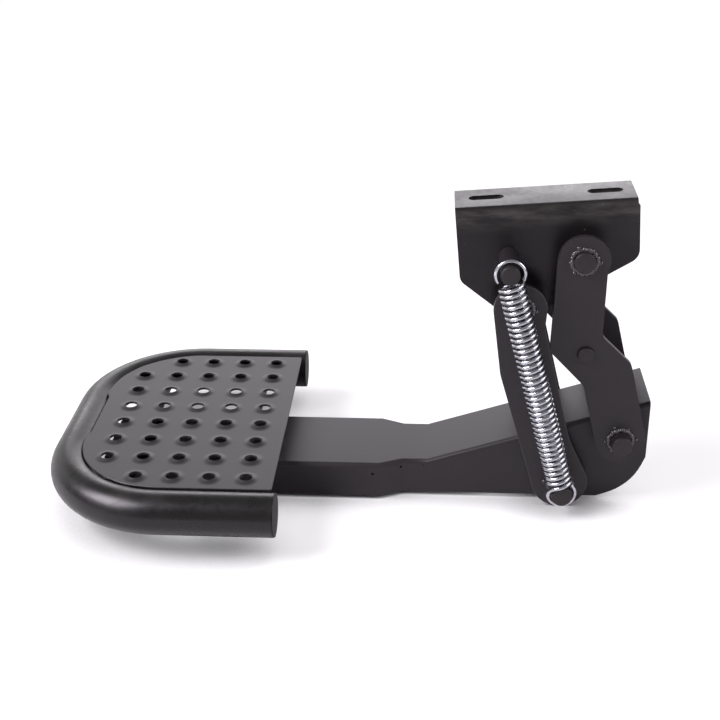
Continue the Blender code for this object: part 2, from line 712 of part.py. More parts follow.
def spring_line(length):
    """Centre line of the wire: X across, Y back, Z up the coil, the stud at the origin."""
    inner = HOOK_RADIUS - WIRE_DIAMETER / 2.0
    stud_sag = inner - STUD_DIAMETER / 2.0 - WELD_GAP
    pin_lift = inner - PIN_DIAMETER / 2.0 - WELD_GAP
    pitch_per_radian = (length - COIL_END_SHY - COIL_START) / COIL_TURNS / (2.0 * math.pi)

    def upper_loop(angle):
        return Vector((-HOOK_RADIUS * math.cos(angle), 0.0, -stud_sag + HOOK_RADIUS * math.sin(angle)))

    def lower_hook(angle):
        return Vector((-HOOK_RADIUS * math.cos(angle), 0.0,
                       pin_lift - length - HOOK_RADIUS * math.sin(angle)))

    def coil(angle):
        drop = COIL_START + pitch_per_radian * (angle - math.pi)
        return Vector((COIL_RADIUS * math.cos(angle), -COIL_RADIUS * math.sin(angle), -drop))

    def sweep(path, start, end, steps):
        return [path(start + (end - start) * step / steps) for step in range(steps + 1)]

    coil_start = math.pi
    coil_end = coil_start + COIL_TURNS * 2.0 * math.pi
    heading = (coil(coil_end + SMALL_TURN) - coil(coil_end - SMALL_TURN)).normalized()
    points = sweep(upper_loop, LOOP_START, LOOP_END, POINTS_PER_TURN)
    points += bridge(points[-1], LOOP_PULL, coil(coil_start), COIL_ENTRY_PULL)
    points += sweep(coil, coil_start, coil_end, round(COIL_TURNS * POINTS_PER_TURN))
    points += bridge(points[-1], heading * COIL_EXIT_PULL, lower_hook(HOOK_START), HOOK_PULL)
    points += sweep(lower_hook, HOOK_START, HOOK_END, POINTS_PER_TURN)
    return points


def make_spring(lower_pin):
    stud = bracket_place(-STUD_SETBACK, STUD_DROP)
    span = lower_pin - stud
    lean = math.atan2(span.x, -span.z)
    holder = frame("spring_frame", (stud.x, -SPRING_PLANE, stud.z), lean)
    curve = bpy.data.curves.new("return_spring", "CURVE")
    curve.dimensions = "3D"
    curve.bevel_depth = WIRE_DIAMETER / 2.0
    curve.bevel_resolution = 1
    curve.use_fill_caps = True
    points = spring_line(span.length)
    spline = curve.splines.new("POLY")
    spline.points.add(len(points) - 1)
    for point, place in zip(spline.points, points):
        point.co = (*place, 1.0)
    spline.use_smooth = True
    curve.materials.append(paint("return_spring", ZINC_COLOUR, ZINC_ROUGHNESS, 1.0))
    spring = bpy.data.objects.new("return_spring", curve)
    spring.parent = holder
    bpy.context.scene.collection.objects.link(spring)


def build():
    clear_scene()
    _, _, lower_pin, spacing = hinge_places()
    make_bracket()
    make_links()
    holder = frame("arm_frame", lower_pin, 0.0)
    make_arm(holder, spacing)
    make_platform(holder)
    make_spring(lower_pin)
    bpy.context.view_layer.update()


build()
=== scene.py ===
# Folding bumper step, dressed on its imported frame. Metres, +Z up, +X towards the vehicle.

import math

import bmesh
import bpy
from mathutils import Matrix, Vector, noise


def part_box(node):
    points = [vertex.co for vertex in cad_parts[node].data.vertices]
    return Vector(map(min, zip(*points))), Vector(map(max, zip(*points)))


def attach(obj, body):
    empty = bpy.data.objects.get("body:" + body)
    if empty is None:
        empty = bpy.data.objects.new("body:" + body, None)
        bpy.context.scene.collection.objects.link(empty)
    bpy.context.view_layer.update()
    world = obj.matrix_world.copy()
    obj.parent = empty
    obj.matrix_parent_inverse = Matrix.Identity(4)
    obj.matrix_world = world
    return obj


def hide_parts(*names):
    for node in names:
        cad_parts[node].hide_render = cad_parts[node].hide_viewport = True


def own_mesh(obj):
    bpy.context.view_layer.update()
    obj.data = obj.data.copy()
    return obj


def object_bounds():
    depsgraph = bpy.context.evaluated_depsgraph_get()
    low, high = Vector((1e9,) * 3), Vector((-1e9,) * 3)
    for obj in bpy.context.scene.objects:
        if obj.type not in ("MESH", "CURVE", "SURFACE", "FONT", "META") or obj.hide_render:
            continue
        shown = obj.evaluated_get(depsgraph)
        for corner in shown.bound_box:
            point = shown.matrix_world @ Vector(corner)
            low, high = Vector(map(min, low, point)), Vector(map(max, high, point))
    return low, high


bl_info = {
    "name": "Folding Bumper Step",
    "version": (1, 0, 0),
    "blender": (4, 5, 0),
    "location": "3D View > Sidebar > Bumper Step",
    "description": "Builds a folding bumper step with its coats, welds, spring and studio stage",
    "category": "Add Mesh",
}

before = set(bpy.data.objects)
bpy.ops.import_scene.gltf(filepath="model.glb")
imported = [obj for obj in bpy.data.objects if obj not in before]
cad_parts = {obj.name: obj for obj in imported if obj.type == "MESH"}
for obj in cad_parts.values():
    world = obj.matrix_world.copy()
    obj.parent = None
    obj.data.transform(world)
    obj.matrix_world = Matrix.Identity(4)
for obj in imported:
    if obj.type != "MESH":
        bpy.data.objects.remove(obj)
CAD_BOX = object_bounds()

SHARP_ANGLE = math.radians(38)
MERGE_DISTANCE = 0.00001
FLAT_ANGLE = math.radians(0.6)
BELT_STEP = math.radians(4)
CUTTER_DEPTH = 0.2
WAVES_PER_METRE = 55.0
ALMOST_HALF = 0.49
LIP_STEPS = 3
UNDERSIDE_STEPS = 4
PLUG_DOME_STEPS = 8
WELD_SEED = 3

# How far each end of the spring's two bridges runs on before it bends
LOOP_PULL = Vector((0.0, 0.0, -0.010))
COIL_TOP_PULL = Vector((0.0, -0.011, -0.001))
COIL_FOOT_PULL = 0.016
HOOK_PULL = Vector((0.004, 0.0, -0.018))
SHORT_TURN = 0.01

# How strongly the coat's specks, waves and streaks show
SPECK_STRENGTH = 0.55
SPECK_RISE = 1.5
WAVE_RISE = 1.6
STREAK_STRENGTH = 0.85

# Where the soles' scuffs begin and are whole, from the top of the tread
SCUFF_BELOW_CREST = 0.0009
SCUFF_ABOVE_CREST = 0.0001

COAT_TINT = (0.98, 0.94, 1.0, 1.0)
LAMP_COLOUR = (0.99, 0.965, 1.0)
GLOW_COLOUR = (1.0, 0.98, 1.01, 1.0)
WHITE = (1.0, 1.0, 1.0, 1.0)
FLOOR_GAP = 0.0003
SENSOR_WIDTH = 36.0


def length(name, text, default):
    return bpy.props.FloatProperty(name=name, description=text, default=default, unit="LENGTH", precision=5)


def lengths(name, text, default):
    return bpy.props.FloatVectorProperty(name=name, description=text, default=default, size=len(default),
                                         unit="LENGTH", precision=5)


def spot(name, text, default):
    return bpy.props.FloatVectorProperty(name=name, description=text, default=default, subtype="TRANSLATION",
                                         unit="LENGTH", precision=5)


def number(name, text, default, unit="NONE"):
    return bpy.props.FloatProperty(name=name, description=text, default=default, unit=unit)


def share(name, text, default):
    return bpy.props.FloatProperty(name=name, description=text, default=default, min=0.0, max=1.0,
                                   subtype="FACTOR")


def count(name, text, default):
    return bpy.props.IntProperty(name=name, description=text, default=default, min=1)


def colour(name, text, default):
    return bpy.props.FloatVectorProperty(name=name, description=text, default=default, size=3,
                                         min=0.0, max=1.0, subtype="COLOR")


def angle(name, text, degrees):
    return number(name, text, math.radians(degrees), "ROTATION")


class StepSteelSizes(bpy.types.PropertyGroup):
    edge_round: length("Edge rounding", "Radius of the cut edges under the coat", 0.0008)
    bracket_tilt: angle("Bracket tilt", "Rise of the bracket towards the vehicle", 4.2)
    notch_radii: lengths("Notch radii", "Relief holes by the bend lines of the arm",
                         (0.0012, 0.0011, 0.0007))
    notch_places: lengths("Notch places", "X of each relief hole", (-0.1446, -0.1190, -0.0985))
    notch_drops: lengths("Notch drops", "Depth of each relief hole under the arm's top",
                         (0.0098, 0.0066, 0.0054))
    pin_diameter: length("Pin diameter", "Diameter of the four hinge pins", 0.018)
    tie_diameter: length("Tie pin diameter", "Diameter of the vehicle-side link's tie pin", 0.014)
    stud_diameter: length("Stud diameter", "Diameter of the spring stud", 0.016)
    sleeve_diameter: length("Sleeve diameter", "Outside diameter of the hinge sleeves", 0.026)
    pin_round: length("Pin rounding", "Rounding of the pin ends", 0.0009)
    sleeve_round: length("Sleeve rounding", "Rounding of the sleeve ends", 0.0005)
    pin_play: length("Pin play", "Gap between a pin and its sleeve", 0.0003)
    turned_sides: count("Turned sides", "Sides of each turned piece", 56)


class StepWeldSizes(bpy.types.PropertyGroup):
    bead: length("Bead radius", "Radius of a weld ripple", 0.0024)
    spacing: length("Ripple spacing", "Distance between weld ripples", 0.0015)
    spread: length("Ripple spread", "How far a ripple strays from its line", 0.0005)
    reach: length("Weld reach", "Distance of a weld's line from the side of its pin", 0.0015)
    smallest: share("Smallest ripple", "Size of the smallest ripple", 0.7)
    largest: number("Largest ripple", "Size of the largest ripple", 1.1)
    drop: length("Drop radius", "Radius of a weld drop", 0.0019)
    drop_spacing: length("Drop spacing", "Distance between weld drops", 0.014)
    drop_spread: length("Drop spread", "How far a drop strays from its line", 0.0016)
    drop_reach: length("Drop reach", "Distance of the drops from the side of the pin", 0.0038)


class StepPlatformSizes(bpy.types.PropertyGroup):
    tube_diameter: length("Tube diameter", "Outside diameter of the rim tube", 0.038)
    tube_corner: length("Tube corner", "Bend radius of the rim tube's centre line", 0.094)
    tube_sides: count("Tube sides", "Sides round the rim tube", 64)
    tube_corner_steps: count("Corner steps", "Steps in each bend of the rim tube", 28)
    sheet: length("Tread sheet", "Thickness of the tread sheet", 0.002)
    seat: length("Tread seat", "Height of the sheet's underside over the tube's centre line", 0.0161)
    rear_setback: length("Rear setback", "Distance of the tread's rear edge from the tube's ends", 0.002)
    corner: length("Tread corner", "Radius of the tread's rear corners", 0.003)
    recess: length("Recess depth", "Depth of the flat recess in the tread's front edge", 0.0026)
    recess_inset: length("Recess inset", "Distance of the recess from the tread's front corners", 0.004)
    recess_flank: length("Recess flank", "Width of each curved end of the recess", 0.009)
    recess_ease: share("Recess ease", "Roundness of the recess's ends", 0.6)
    pitch: length("Hole pitch", "Distance between the tread holes", 0.032)
    columns: count("Hole columns", "Holes across the tread", 5)
    rows: count("Hole rows", "Holes along the tread", 8)
    hole: length("Hole radius", "Radius of a tread hole", 0.0055)
    dimple_base: length("Dimple base", "Radius at which a dimple leaves the sheet", 0.0122)
    dimple_height: length("Dimple height", "Rise of a dimple over the sheet", 0.0016)
    dimple_lip: length("Dimple lip", "Rounding of a dimple's mouth", 0.0005)
    dimple_bend: number("Dimple bend", "Steepness of a dimple by its mouth", 2.2)
    edge_wave: length("Edge wave", "How far in the sheet's edge strays on average", 0.0008)
    edge_round: length("Sheet rounding", "Rounding of the sheet's edge", 0.0004)
    front: length("Tube front", "Distance of the tube's front from the middle of the holes", 0.1033)
    dimple_sides: count("Dimple sides", "Sides round a dimple", 40)
    dimple_steps: count("Dimple steps", "Steps up a dimple", 8)
    plug_dome: length("Plug dome", "Bulge of a tube plug", 0.0012)
    plug_flange: length("Plug flange", "Thickness of a tube plug's rim", 0.001)
    plug_round: length("Plug rounding", "Bevel of a tube plug's inner edge", 0.0004)
    plug_gap: length("Plug gap", "Gap between a tube plug and the tube's end", 0.0001)


class StepSpringSizes(bpy.types.PropertyGroup):
    wire: length("Wire diameter", "Diameter of the spring wire", 0.0033)
    coil: length("Coil radius", "Radius of the coil's centre line", 0.0101)
    coil_top_aside: length("Coil top shift", "How far the coil's top is off the pins' line", -0.0013)
    coil_foot_aside: length("Coil foot shift", "How far the coil's foot is off the pins' line", 0.0006)
    loop: length("Loop radius", "Radius of the upper loop", 0.0121)
    hook: length("Hook radius", "Radius of the lower hook", 0.0119)
    coil_start: length("Coil start", "Distance from the stud to the first turn", 0.0099)
    coil_shy: length("Coil end", "Distance from the last turn to the lower pin", 0.0112)
    turns: number("Turns", "Turns of the coil", 38.3)
    loop_start: angle("Loop start", "Where the wire's upper tip lies on the stud", -20)
    loop_end: angle("Loop end", "Where the loop leaves the stud", 182)
    hook_start: angle("Hook start", "Where the hook meets the long pin", 12)
    hook_end: angle("Hook end", "Where the wire's lower tip lies on the long pin", 212)
    points: count("Points", "Points on each turn", 30)
    wire_sides: count("Wire sides", "Sides round the wire", 14)
    play: length("Spring play", "Room between the wire and the pins that hold it", 0.0011)
    keep: share("Folded length", "Length of the spring with the step folded", 0.9366)


class StepFinishes(bpy.types.PropertyGroup):
    coat: colour("Coat", "Black powder coat", (0.0115, 0.0098, 0.0108))
    tube: colour("Tube", "Black coat of the rim tube", (0.0062, 0.0058, 0.0055))
    dust: colour("Dust", "Dust and rub marks on the coat", (0.075, 0.070, 0.066))
    coat_gloss: share("Coat roughness", "Roughness of the powder coat", 0.47)
    bracket_gloss: share("Bracket roughness", "Roughness of the bracket's coat", 0.33)
    tread_gloss: share("Tread roughness", "Roughness of the tread's coat", 0.42)
    tube_gloss: share("Tube roughness", "Roughness of the tube's coat", 0.32)
    worn_gloss: share("Worn roughness", "Roughness of the coat on worn edges and welds", 0.20)
    speck: colour("Speck", "Small pale specks in the coat", (0.16, 0.15, 0.15))
    # The welds take this colour too, where its lighter tone is partly a painted glint.
    edge: colour("Edge", "Coat worn thin on the edges", (0.045, 0.043, 0.044))
    zinc: colour("Zinc", "Bright zinc plate of the spring", (0.60, 0.61, 0.66))
    zinc_cloud: colour("Zinc cloud", "Duller clouds in the zinc plate", (0.50, 0.49, 0.52))
    zinc_gloss: share("Zinc roughness", "Roughness of the zinc plate", 0.19)
    plastic: colour("Plastic", "Moulded tube plugs", (0.085, 0.078, 0.088))
    plastic_dust: colour("Plastic dust", "Dust on the tube plugs", (0.1275, 0.117, 0.132))


class StepStage(bpy.types.PropertyGroup):
    floor_size: length("Floor size", "Width of the studio floor", 12.0)
    floor_end: length("Floor end", "Y of the floor's far edge, just before the light behind", 3.98)
    floor: colour("Floor", "Pale studio floor", (0.8, 0.785, 0.805))
    floor_seen: colour("Floor in the picture", "Floor as the camera sees it", (0.5, 0.5, 0.5))
    glow: share("Floor glow", "Brightness that the floor has by itself in the picture", 0.68)
    # Reach of the painted contact shadow in the floor's glow.
    painted_contact_shadow_reach: length("Contact", "Reach of the deep shade under the object", 0.05)
    mirrored: share("Mirrored floor", "Share of the far floor's glow in a reflection", 1.0)
    mirrored_from: lengths("Mirrored from", "Y where the far floor's glow begins and is whole", (0.9, 1.5))
    world: number("Room light", "Strength of the room's own light", 0.14)
    ceiling: share("Ceiling", "Brightness of the room's ceiling in a reflection", 0.28)
    front_wall: share("Front wall", "Brightness of the room's front in a reflection", 0.36)
    back_light: number("Back light", "Power of the light behind", 77.0, "POWER")
    back_place: spot("Back light place", "Where the light behind stands", (0.2, 4.0, 1.40))
    back_size: lengths("Back light size", "Width and height of the light behind", (5.6, 1.50))
    key_light: number("Key light", "Power of the light on the left", 78.0, "POWER")
    key_place: spot("Key light place", "Where the light on the left stands", (-1.81, -0.66, 1.35))
    side_light: number("Side light", "Power of the light on the right", 18.0, "POWER")
    side_place: spot("Side light place", "Where the light on the right stands", (1.55, -0.5, 0.75))
    front_size: lengths("Front light size", "Width and height of the left and right lights", (1.3, 1.2))
    lens: number("Lens", "Focal length in millimetres", 63.26, "CAMERA")
    place: spot("Camera place", "Where the camera stands", (-0.09322, -1.03623, 0.34399))
    pitch: angle("Camera pitch", "How far the camera looks down", 25.90)
    yaw: angle("Camera yaw", "How far the camera looks towards the platform", 3.577)
    roll: angle("Camera roll", "How far the camera leans", -0.519)


class Nodes:
    """Short way to lay out a node tree."""

    def __init__(self, tree):
        self.tree = tree

    def add(self, kind, sockets=None, **settings):
        node = self.tree.nodes.new(kind)
        for key, value in settings.items():
            setattr(node, key, value)
        for key, value in (sockets or {}).items():
            if isinstance(value, bpy.types.NodeSocket):
                self.link(value, node.inputs[key])
            else:
                node.inputs[key].default_value = value
        return node

    def link(self, start, end):
        self.tree.links.new(start, end)

    def maths(self, operation, first, second=0.0):
        return self.add("ShaderNodeMath", {0: first, 1: second}, operation=operation).outputs[0]

    def ramp(self, value, low, high, to_low=0.0, to_high=1.0):
        sockets = {"Value": value, "From Min": low, "From Max": high, "To Min": to_low, "To Max": to_high}
        return self.add("ShaderNodeMapRange", sockets, interpolation_type="SMOOTHSTEP").outputs["Result"]

    def noise(self, place, scale, detail=4.0, rough=0.55):
        sockets = {"Vector": place, "Scale": scale, "Detail": detail, "Roughness": rough}
        return self.add("ShaderNodeTexNoise", sockets).outputs["Fac"]

    def mix(self, factor, first, second):
        return self.add("ShaderNodeMix", {0: factor, 6: first, 7: second}, data_type="RGBA").outputs[2]

    def bump(self, height, strength, depth):
        sockets = {"Height": height, "Strength": strength, "Distance": depth}
        return self.add("ShaderNodeBump", sockets).outputs["Normal"]


def new_material(name):
    """Material, its nodes, its shader and the place on the object."""
    material = bpy.data.materials.new(name)
    material.use_nodes = True
    tree = material.node_tree
    shader = tree.nodes["Principled BSDF"]
    nodes = Nodes(tree)
    place = nodes.add("ShaderNodeTexCoord").outputs["Object"]
    return material, nodes, shader, place


def powder_coat(name, roughness, rub=0.0, peel=0.00004, marks=None, base=None, sheen=0.19):
    """Black powder coat: orange peel, cloudy gloss, faint dust, small specks."""
    finish = bpy.context.scene.step_finishes
    material, nodes, shader, place = new_material(name)
    shader.inputs["Specular IOR Level"].default_value = sheen
    shader.inputs["Specular Tint"].default_value = COAT_TINT
    dark = (*(base or finish.coat), 1.0)
    dust = (*finish.dust, 1.0)
    clouds = nodes.noise(place, scale=16.0, detail=6.0, rough=0.62)
    grain = nodes.noise(place, scale=210.0, detail=3.0)
    film = nodes.ramp(clouds, low=0.46, high=0.78, to_high=0.16 + rub)
    tint = nodes.mix(film, dark, dust)
    if marks:
        tint = nodes.mix(marks(nodes, place), tint, dust)
    cells = nodes.add("ShaderNodeTexVoronoi", {"Vector": place, "Scale": 150.0}, feature="F1").outputs
    draw = nodes.add("ShaderNodeSeparateColor", {0: cells["Color"]}).outputs[0]
    chosen = nodes.ramp(draw, low=0.965, high=0.985)
    near = nodes.ramp(cells["Distance"], low=0.13, high=0.05)
    specks = nodes.maths("MULTIPLY", chosen, near)
    tint = nodes.mix(nodes.maths("MULTIPLY", specks, SPECK_STRENGTH), tint, (*finish.speck, 1.0))
    nodes.link(tint, shader.inputs["Base Color"])
    gloss = nodes.ramp(clouds, low=0.3, high=0.7, to_low=roughness - 0.05, to_high=roughness + 0.07)
    gloss = nodes.maths("ADD", gloss, nodes.ramp(grain, low=0.3, high=0.7, to_low=-0.03, to_high=0.03))
    nodes.link(gloss, shader.inputs["Roughness"])
    orange = nodes.noise(place, scale=620.0, detail=2.0)
    wide = nodes.noise(place, scale=95.0, detail=2.0)
    height = nodes.maths("ADD", orange, nodes.maths("MULTIPLY", wide, WAVE_RISE))
    height = nodes.maths("ADD", height, nodes.maths("MULTIPLY", specks, SPECK_RISE))
    nodes.link(nodes.bump(height, strength=0.5, depth=peel), shader.inputs["Normal"])
    return material


def fold_streaks(nodes, place):
    """Rubbed streaks just under the bracket's folds."""
    tilt = bpy.context.scene.step_steel.bracket_tilt
    up = (-math.sin(tilt), 0.0, math.cos(tilt))
    height = nodes.add("ShaderNodeVectorMath", {0: place, 1: up}, operation="DOT_PRODUCT").outputs["Value"]
    stretch = {"Vector": place, "Scale": (30.0, 30.0, 130.0)}
    stretched = nodes.add("ShaderNodeMapping", stretch).outputs["Vector"]
    streaks = nodes.ramp(nodes.noise(stretched, scale=1.0, detail=5.0, rough=0.6), low=0.3, high=0.75)
    lower_end = nodes.ramp(height, low=-0.024, high=-0.007)
    upper_end = nodes.ramp(height, low=-0.0005, high=-0.004)
    band = nodes.maths("MULTIPLY", lower_end, upper_end)
    return nodes.maths("MULTIPLY", nodes.maths("MULTIPLY", band, streaks), STREAK_STRENGTH)


def crest_scuffs(nodes, place):
    """Soles rub the crests of the tread."""
    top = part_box("tread_plate")[1].z
    height = nodes.add("ShaderNodeSeparateXYZ", {0: place}).outputs["Z"]
    crest = nodes.ramp(height, low=top - SCUFF_BELOW_CREST, high=top + SCUFF_ABOVE_CREST)
    patches = nodes.ramp(nodes.noise(place, scale=60.0), low=0.3, high=0.7, to_low=0.15, to_high=0.5)
    return nodes.maths("MULTIPLY", crest, patches)


def zinc_plate(name):
    """Bright plated wire with dull clouds and drawing marks."""
    finish = bpy.context.scene.step_finishes
    material, nodes, shader, place = new_material(name)
    shader.inputs["Metallic"].default_value = 1.0
    clouds = nodes.noise(place, scale=130.0)
    dull = nodes.ramp(clouds, low=0.35, high=0.7)
    tint = nodes.mix(dull, (*finish.zinc, 1.0), (*finish.zinc_cloud, 1.0))
    nodes.link(tint, shader.inputs["Base Color"])
    smoothest = finish.zinc_gloss - 0.04
    roughest = finish.zinc_gloss + 0.1
    gloss = nodes.ramp(clouds, low=0.3, high=0.75, to_low=smoothest, to_high=roughest)
    nodes.link(gloss, shader.inputs["Roughness"])
    drawn = nodes.noise(place, scale=900.0, detail=2.0)
    nodes.link(nodes.bump(drawn, strength=0.12, depth=0.00003), shader.inputs["Normal"])
    return material


def moulded_plastic(name):
    """Dusty plastic with a fine grain."""
    finish = bpy.context.scene.step_finishes
    material, nodes, shader, place = new_material(name)
    clouds = nodes.noise(place, scale=70.0, detail=5.0)
    dusty = nodes.ramp(clouds, low=0.4, high=0.75)
    tint = nodes.mix(dusty, (*finish.plastic, 1.0), (*finish.plastic_dust, 1.0))
    nodes.link(tint, shader.inputs["Base Color"])
    nodes.link(nodes.ramp(clouds, low=0.3, high=0.7, to_low=0.38, to_high=0.5), shader.inputs["Roughness"])
    grain = nodes.noise(place, scale=1400.0)
    nodes.link(nodes.bump(grain, strength=0.3, depth=0.00003), shader.inputs["Normal"])
    return material


def shared(name, maker, *settings, **more):
    """The named material, made on its first use."""
    return bpy.data.materials.get(name) or maker(name, *settings, **more)


def worn_edge():
    """Coat worn thin along the cut edges."""
    finish = bpy.context.scene.step_finishes
    return shared("worn_edge", powder_coat, finish.worn_gloss, rub=0.1, base=finish.edge, sheen=0.7)


def black_coat():
    """Coat of the link plates, pins, bars and arm."""
    return shared("black_coat", powder_coat, bpy.context.scene.step_finishes.coat_gloss)


def weld_coat():
    """Glossy, uneven coat over the welds, lighter than the plates: coat worn thin there, and partly a
    painted glint on the beads.
    """
    finish = bpy.context.scene.step_finishes
    # The worn-edge colour on the welds also paints their glints: partly painted highlight.
    return shared("weld_coat", powder_coat, finish.worn_gloss, peel=0.0001, base=finish.edge, sheen=0.8)


def finished(name, mesh, body, nodes=()):
    """A piece in place of its plain nodes, moving with its body."""
    mesh.name = name
    piece = bpy.data.objects.new(name, mesh)
    bpy.context.scene.collection.objects.link(piece)
    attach(piece, body)
    if nodes:
        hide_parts(*nodes)
    return piece


def evaluated_mesh(item):
    """Plain mesh of an object with its modifiers, and the object is then gone."""
    bpy.context.view_layer.update()
    graph = bpy.context.evaluated_depsgraph_get()
    mesh = bpy.data.meshes.new_from_object(item.evaluated_get(graph), preserve_all_data_layers=True,
                                           depsgraph=graph)
    bpy.data.objects.remove(item, do_unlink=True)
    return mesh


def scratch(name, data):
    """A plain object in the scene, for the stage or for the next step of a piece."""
    item = bpy.data.objects.new(name, data)
    bpy.context.scene.collection.objects.link(item)
    return item


def mesh_of(bm, name):
    """Mesh with what the bmesh holds, and the bmesh is then gone."""
    mesh = bpy.data.meshes.new(name)
    bm.to_mesh(mesh)
    bm.free()
    return mesh


def close_rings(bm, rings):
    """Quads between each closed ring of vertices and the next."""
    for first, second in zip(rings, rings[1:]):
        for index in range(len(first)):
            following = (index + 1) % len(first)
            bm.faces.new((first[index], first[following], second[following], second[index]))


def flat_shading(piece):
    """Normals that keep the flat faces flat beside their rounded edges."""
    weighted = piece.modifiers.new("flat faces", "WEIGHTED_NORMAL")
    weighted.keep_sharp = True


def smooth(mesh):
    """The mesh shaded smooth between its sharp edges."""
    mesh.shade_smooth()
    mesh.set_sharp_from_angle(angle=SHARP_ANGLE)
    return mesh


def merged_copy(node):
    """The node's solid with its doubles merged and its flat faces whole."""
    bm = bmesh.new()
    bm.from_mesh(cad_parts[node].data)
    bmesh.ops.remove_doubles(bm, verts=bm.verts, dist=MERGE_DISTANCE)
    bmesh.ops.dissolve_limit(bm, angle_limit=FLAT_ANGLE, verts=bm.verts, edges=bm.edges)
    return bm


def rounded_steel(name, bm, body, nodes, materials, radius, cutter=None):
    """Folded or cut steel with its edges rounded and worn."""
    mesh = mesh_of(bm, name)
    for material in materials:
        mesh.materials.append(material)
    item = scratch(name, mesh)
    if cutter:
        holes = item.modifiers.new("holes", "BOOLEAN")
        holes.object = cutter
        holes.solver = "EXACT"
    rounding = item.modifiers.new("edges", "BEVEL")
    rounding.width = radius
    rounding.segments = 2
    rounding.limit_method = "ANGLE"
    rounding.angle_limit = SHARP_ANGLE
    rounding.use_clamp_overlap = True
    rounding.material = 1
    rounding.harden_normals = False
    mesh = evaluated_mesh(item)
    if cutter:
        bpy.data.objects.remove(cutter, do_unlink=True)
    flat_shading(finished(name, smooth(mesh), body, nodes))


def turned(profile, centre, axis, sides):
    """Profile of (radius, place along the axis) spun round the axis through the centre."""
    bm = bmesh.new()
    along = Vector(axis)
    start = Vector(centre)
    verts = [bm.verts.new(start + along * place + Vector((0.0, 0.0, radius))) for radius, place in profile]
    edges = [bm.edges.new(pair) for pair in zip(verts, verts[1:])]
    bmesh.ops.spin(bm, geom=verts + edges, cent=start, axis=along, angle=2.0 * math.pi, steps=sides,
                   use_merge=True)
    bmesh.ops.remove_doubles(bm, verts=bm.verts, dist=MERGE_DISTANCE)
    bmesh.ops.recalc_face_normals(bm, faces=bm.faces)
    return smooth(mesh_of(bm, "turned"))


def rounded_end(radius, rounding, place, outwards, steps=4):
    """Quarter round from the side of a bar to its end face."""
    points = []
    for step in range(steps + 1):
        turn = math.pi / 2.0 * step / steps
        points.append((radius - rounding + rounding * math.cos(turn),
                       place + outwards * (math.sin(turn) - 1.0) * rounding))
    return points


def bar_profile(radius, rounding, low, high, bore=0.0):
    """Half section of a bar with rounded ends, or of a sleeve where it has a bore."""
    profile = [(bore, low)]
    profile += reversed(rounded_end(radius, rounding, low, -1.0))
    profile += rounded_end(radius, rounding, high, 1.0)
    profile.append((bore, high))
    if bore:
        profile.append((bore, low))
    return profile


def node_centre(node):
    """Middle of the node's box."""
    low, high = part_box(node)
    return (low + high) / 2.0


def geometry_tree(name, inputs):
    """Empty geometry tree with named inputs, its nodes, the given sockets and its end."""
    tree = bpy.data.node_groups.new(name, "GeometryNodeTree")
    tree.interface.new_socket(name="Geometry", in_out="INPUT", socket_type="NodeSocketGeometry")
    tree.interface.new_socket(name="Geometry", in_out="OUTPUT", socket_type="NodeSocketGeometry")
    for label, kind in inputs:
        tree.interface.new_socket(name=label, in_out="INPUT", socket_type="NodeSocket" + kind)
    nodes = Nodes(tree)
    start = nodes.add("NodeGroupInput")
    end = nodes.add("NodeGroupOutput")
    return tree, nodes, start.outputs, end


def close_tree(nodes, end, geometry, material):
    """Real geometry with its material at the end of a tree."""
    real = nodes.add("GeometryNodeRealizeInstances", {0: geometry}).outputs[0]
    painted = nodes.add("GeometryNodeSetMaterial", {"Geometry": real, "Material": material}).outputs[0]
    nodes.link(painted, end.inputs[0])


def run_tree(item, tree, values):
    """Plain mesh that the tree makes from the object."""
    modifier = item.modifiers.new(tree.name, "NODES")
    modifier.node_group = tree
    for socket in tree.interface.items_tree:
        if socket.in_out == "INPUT" and socket.name in values:
            modifier[socket.identifier] = values[socket.name]
    return evaluated_mesh(item)


def round_bar_tree():
    """Round wire or tube along a curve."""
    name = "round bar along a path"
    if name in bpy.data.node_groups:
        return bpy.data.node_groups[name]
    inputs = [("Radius", "Float"), ("Sides", "Int"), ("Coat", "Material")]
    tree, nodes, given, end = geometry_tree(name, inputs)
    size = {"Resolution": given["Sides"], "Radius": given["Radius"]}
    ring = nodes.add("GeometryNodeCurvePrimitiveCircle", size).outputs["Curve"]
    path = {"Curve": given["Geometry"], "Profile Curve": ring, "Fill Caps": True}
    bar = nodes.add("GeometryNodeCurveToMesh", path)
    close_tree(nodes, end, bar.outputs[0], given["Coat"])
    return tree


def round_bar(name, points, radius, sides, material):
    """Mesh of a round bar along the points."""
    line = bpy.data.curves.new(name, "CURVE")
    line.dimensions = "3D"
    spline = line.splines.new("POLY")
    spline.points.add(len(points) - 1)
    for point, place in zip(spline.points, points):
        point.co = (*place, 1.0)
    values = {"Radius": radius, "Sides": sides, "Coat": material}
    mesh = run_tree(scratch(name, line), round_bar_tree(), values)
    bm = bmesh.new()
    bm.from_mesh(mesh)
    bmesh.ops.recalc_face_normals(bm, faces=bm.faces)
    bm.to_mesh(mesh)
    bm.free()
    return smooth(mesh)


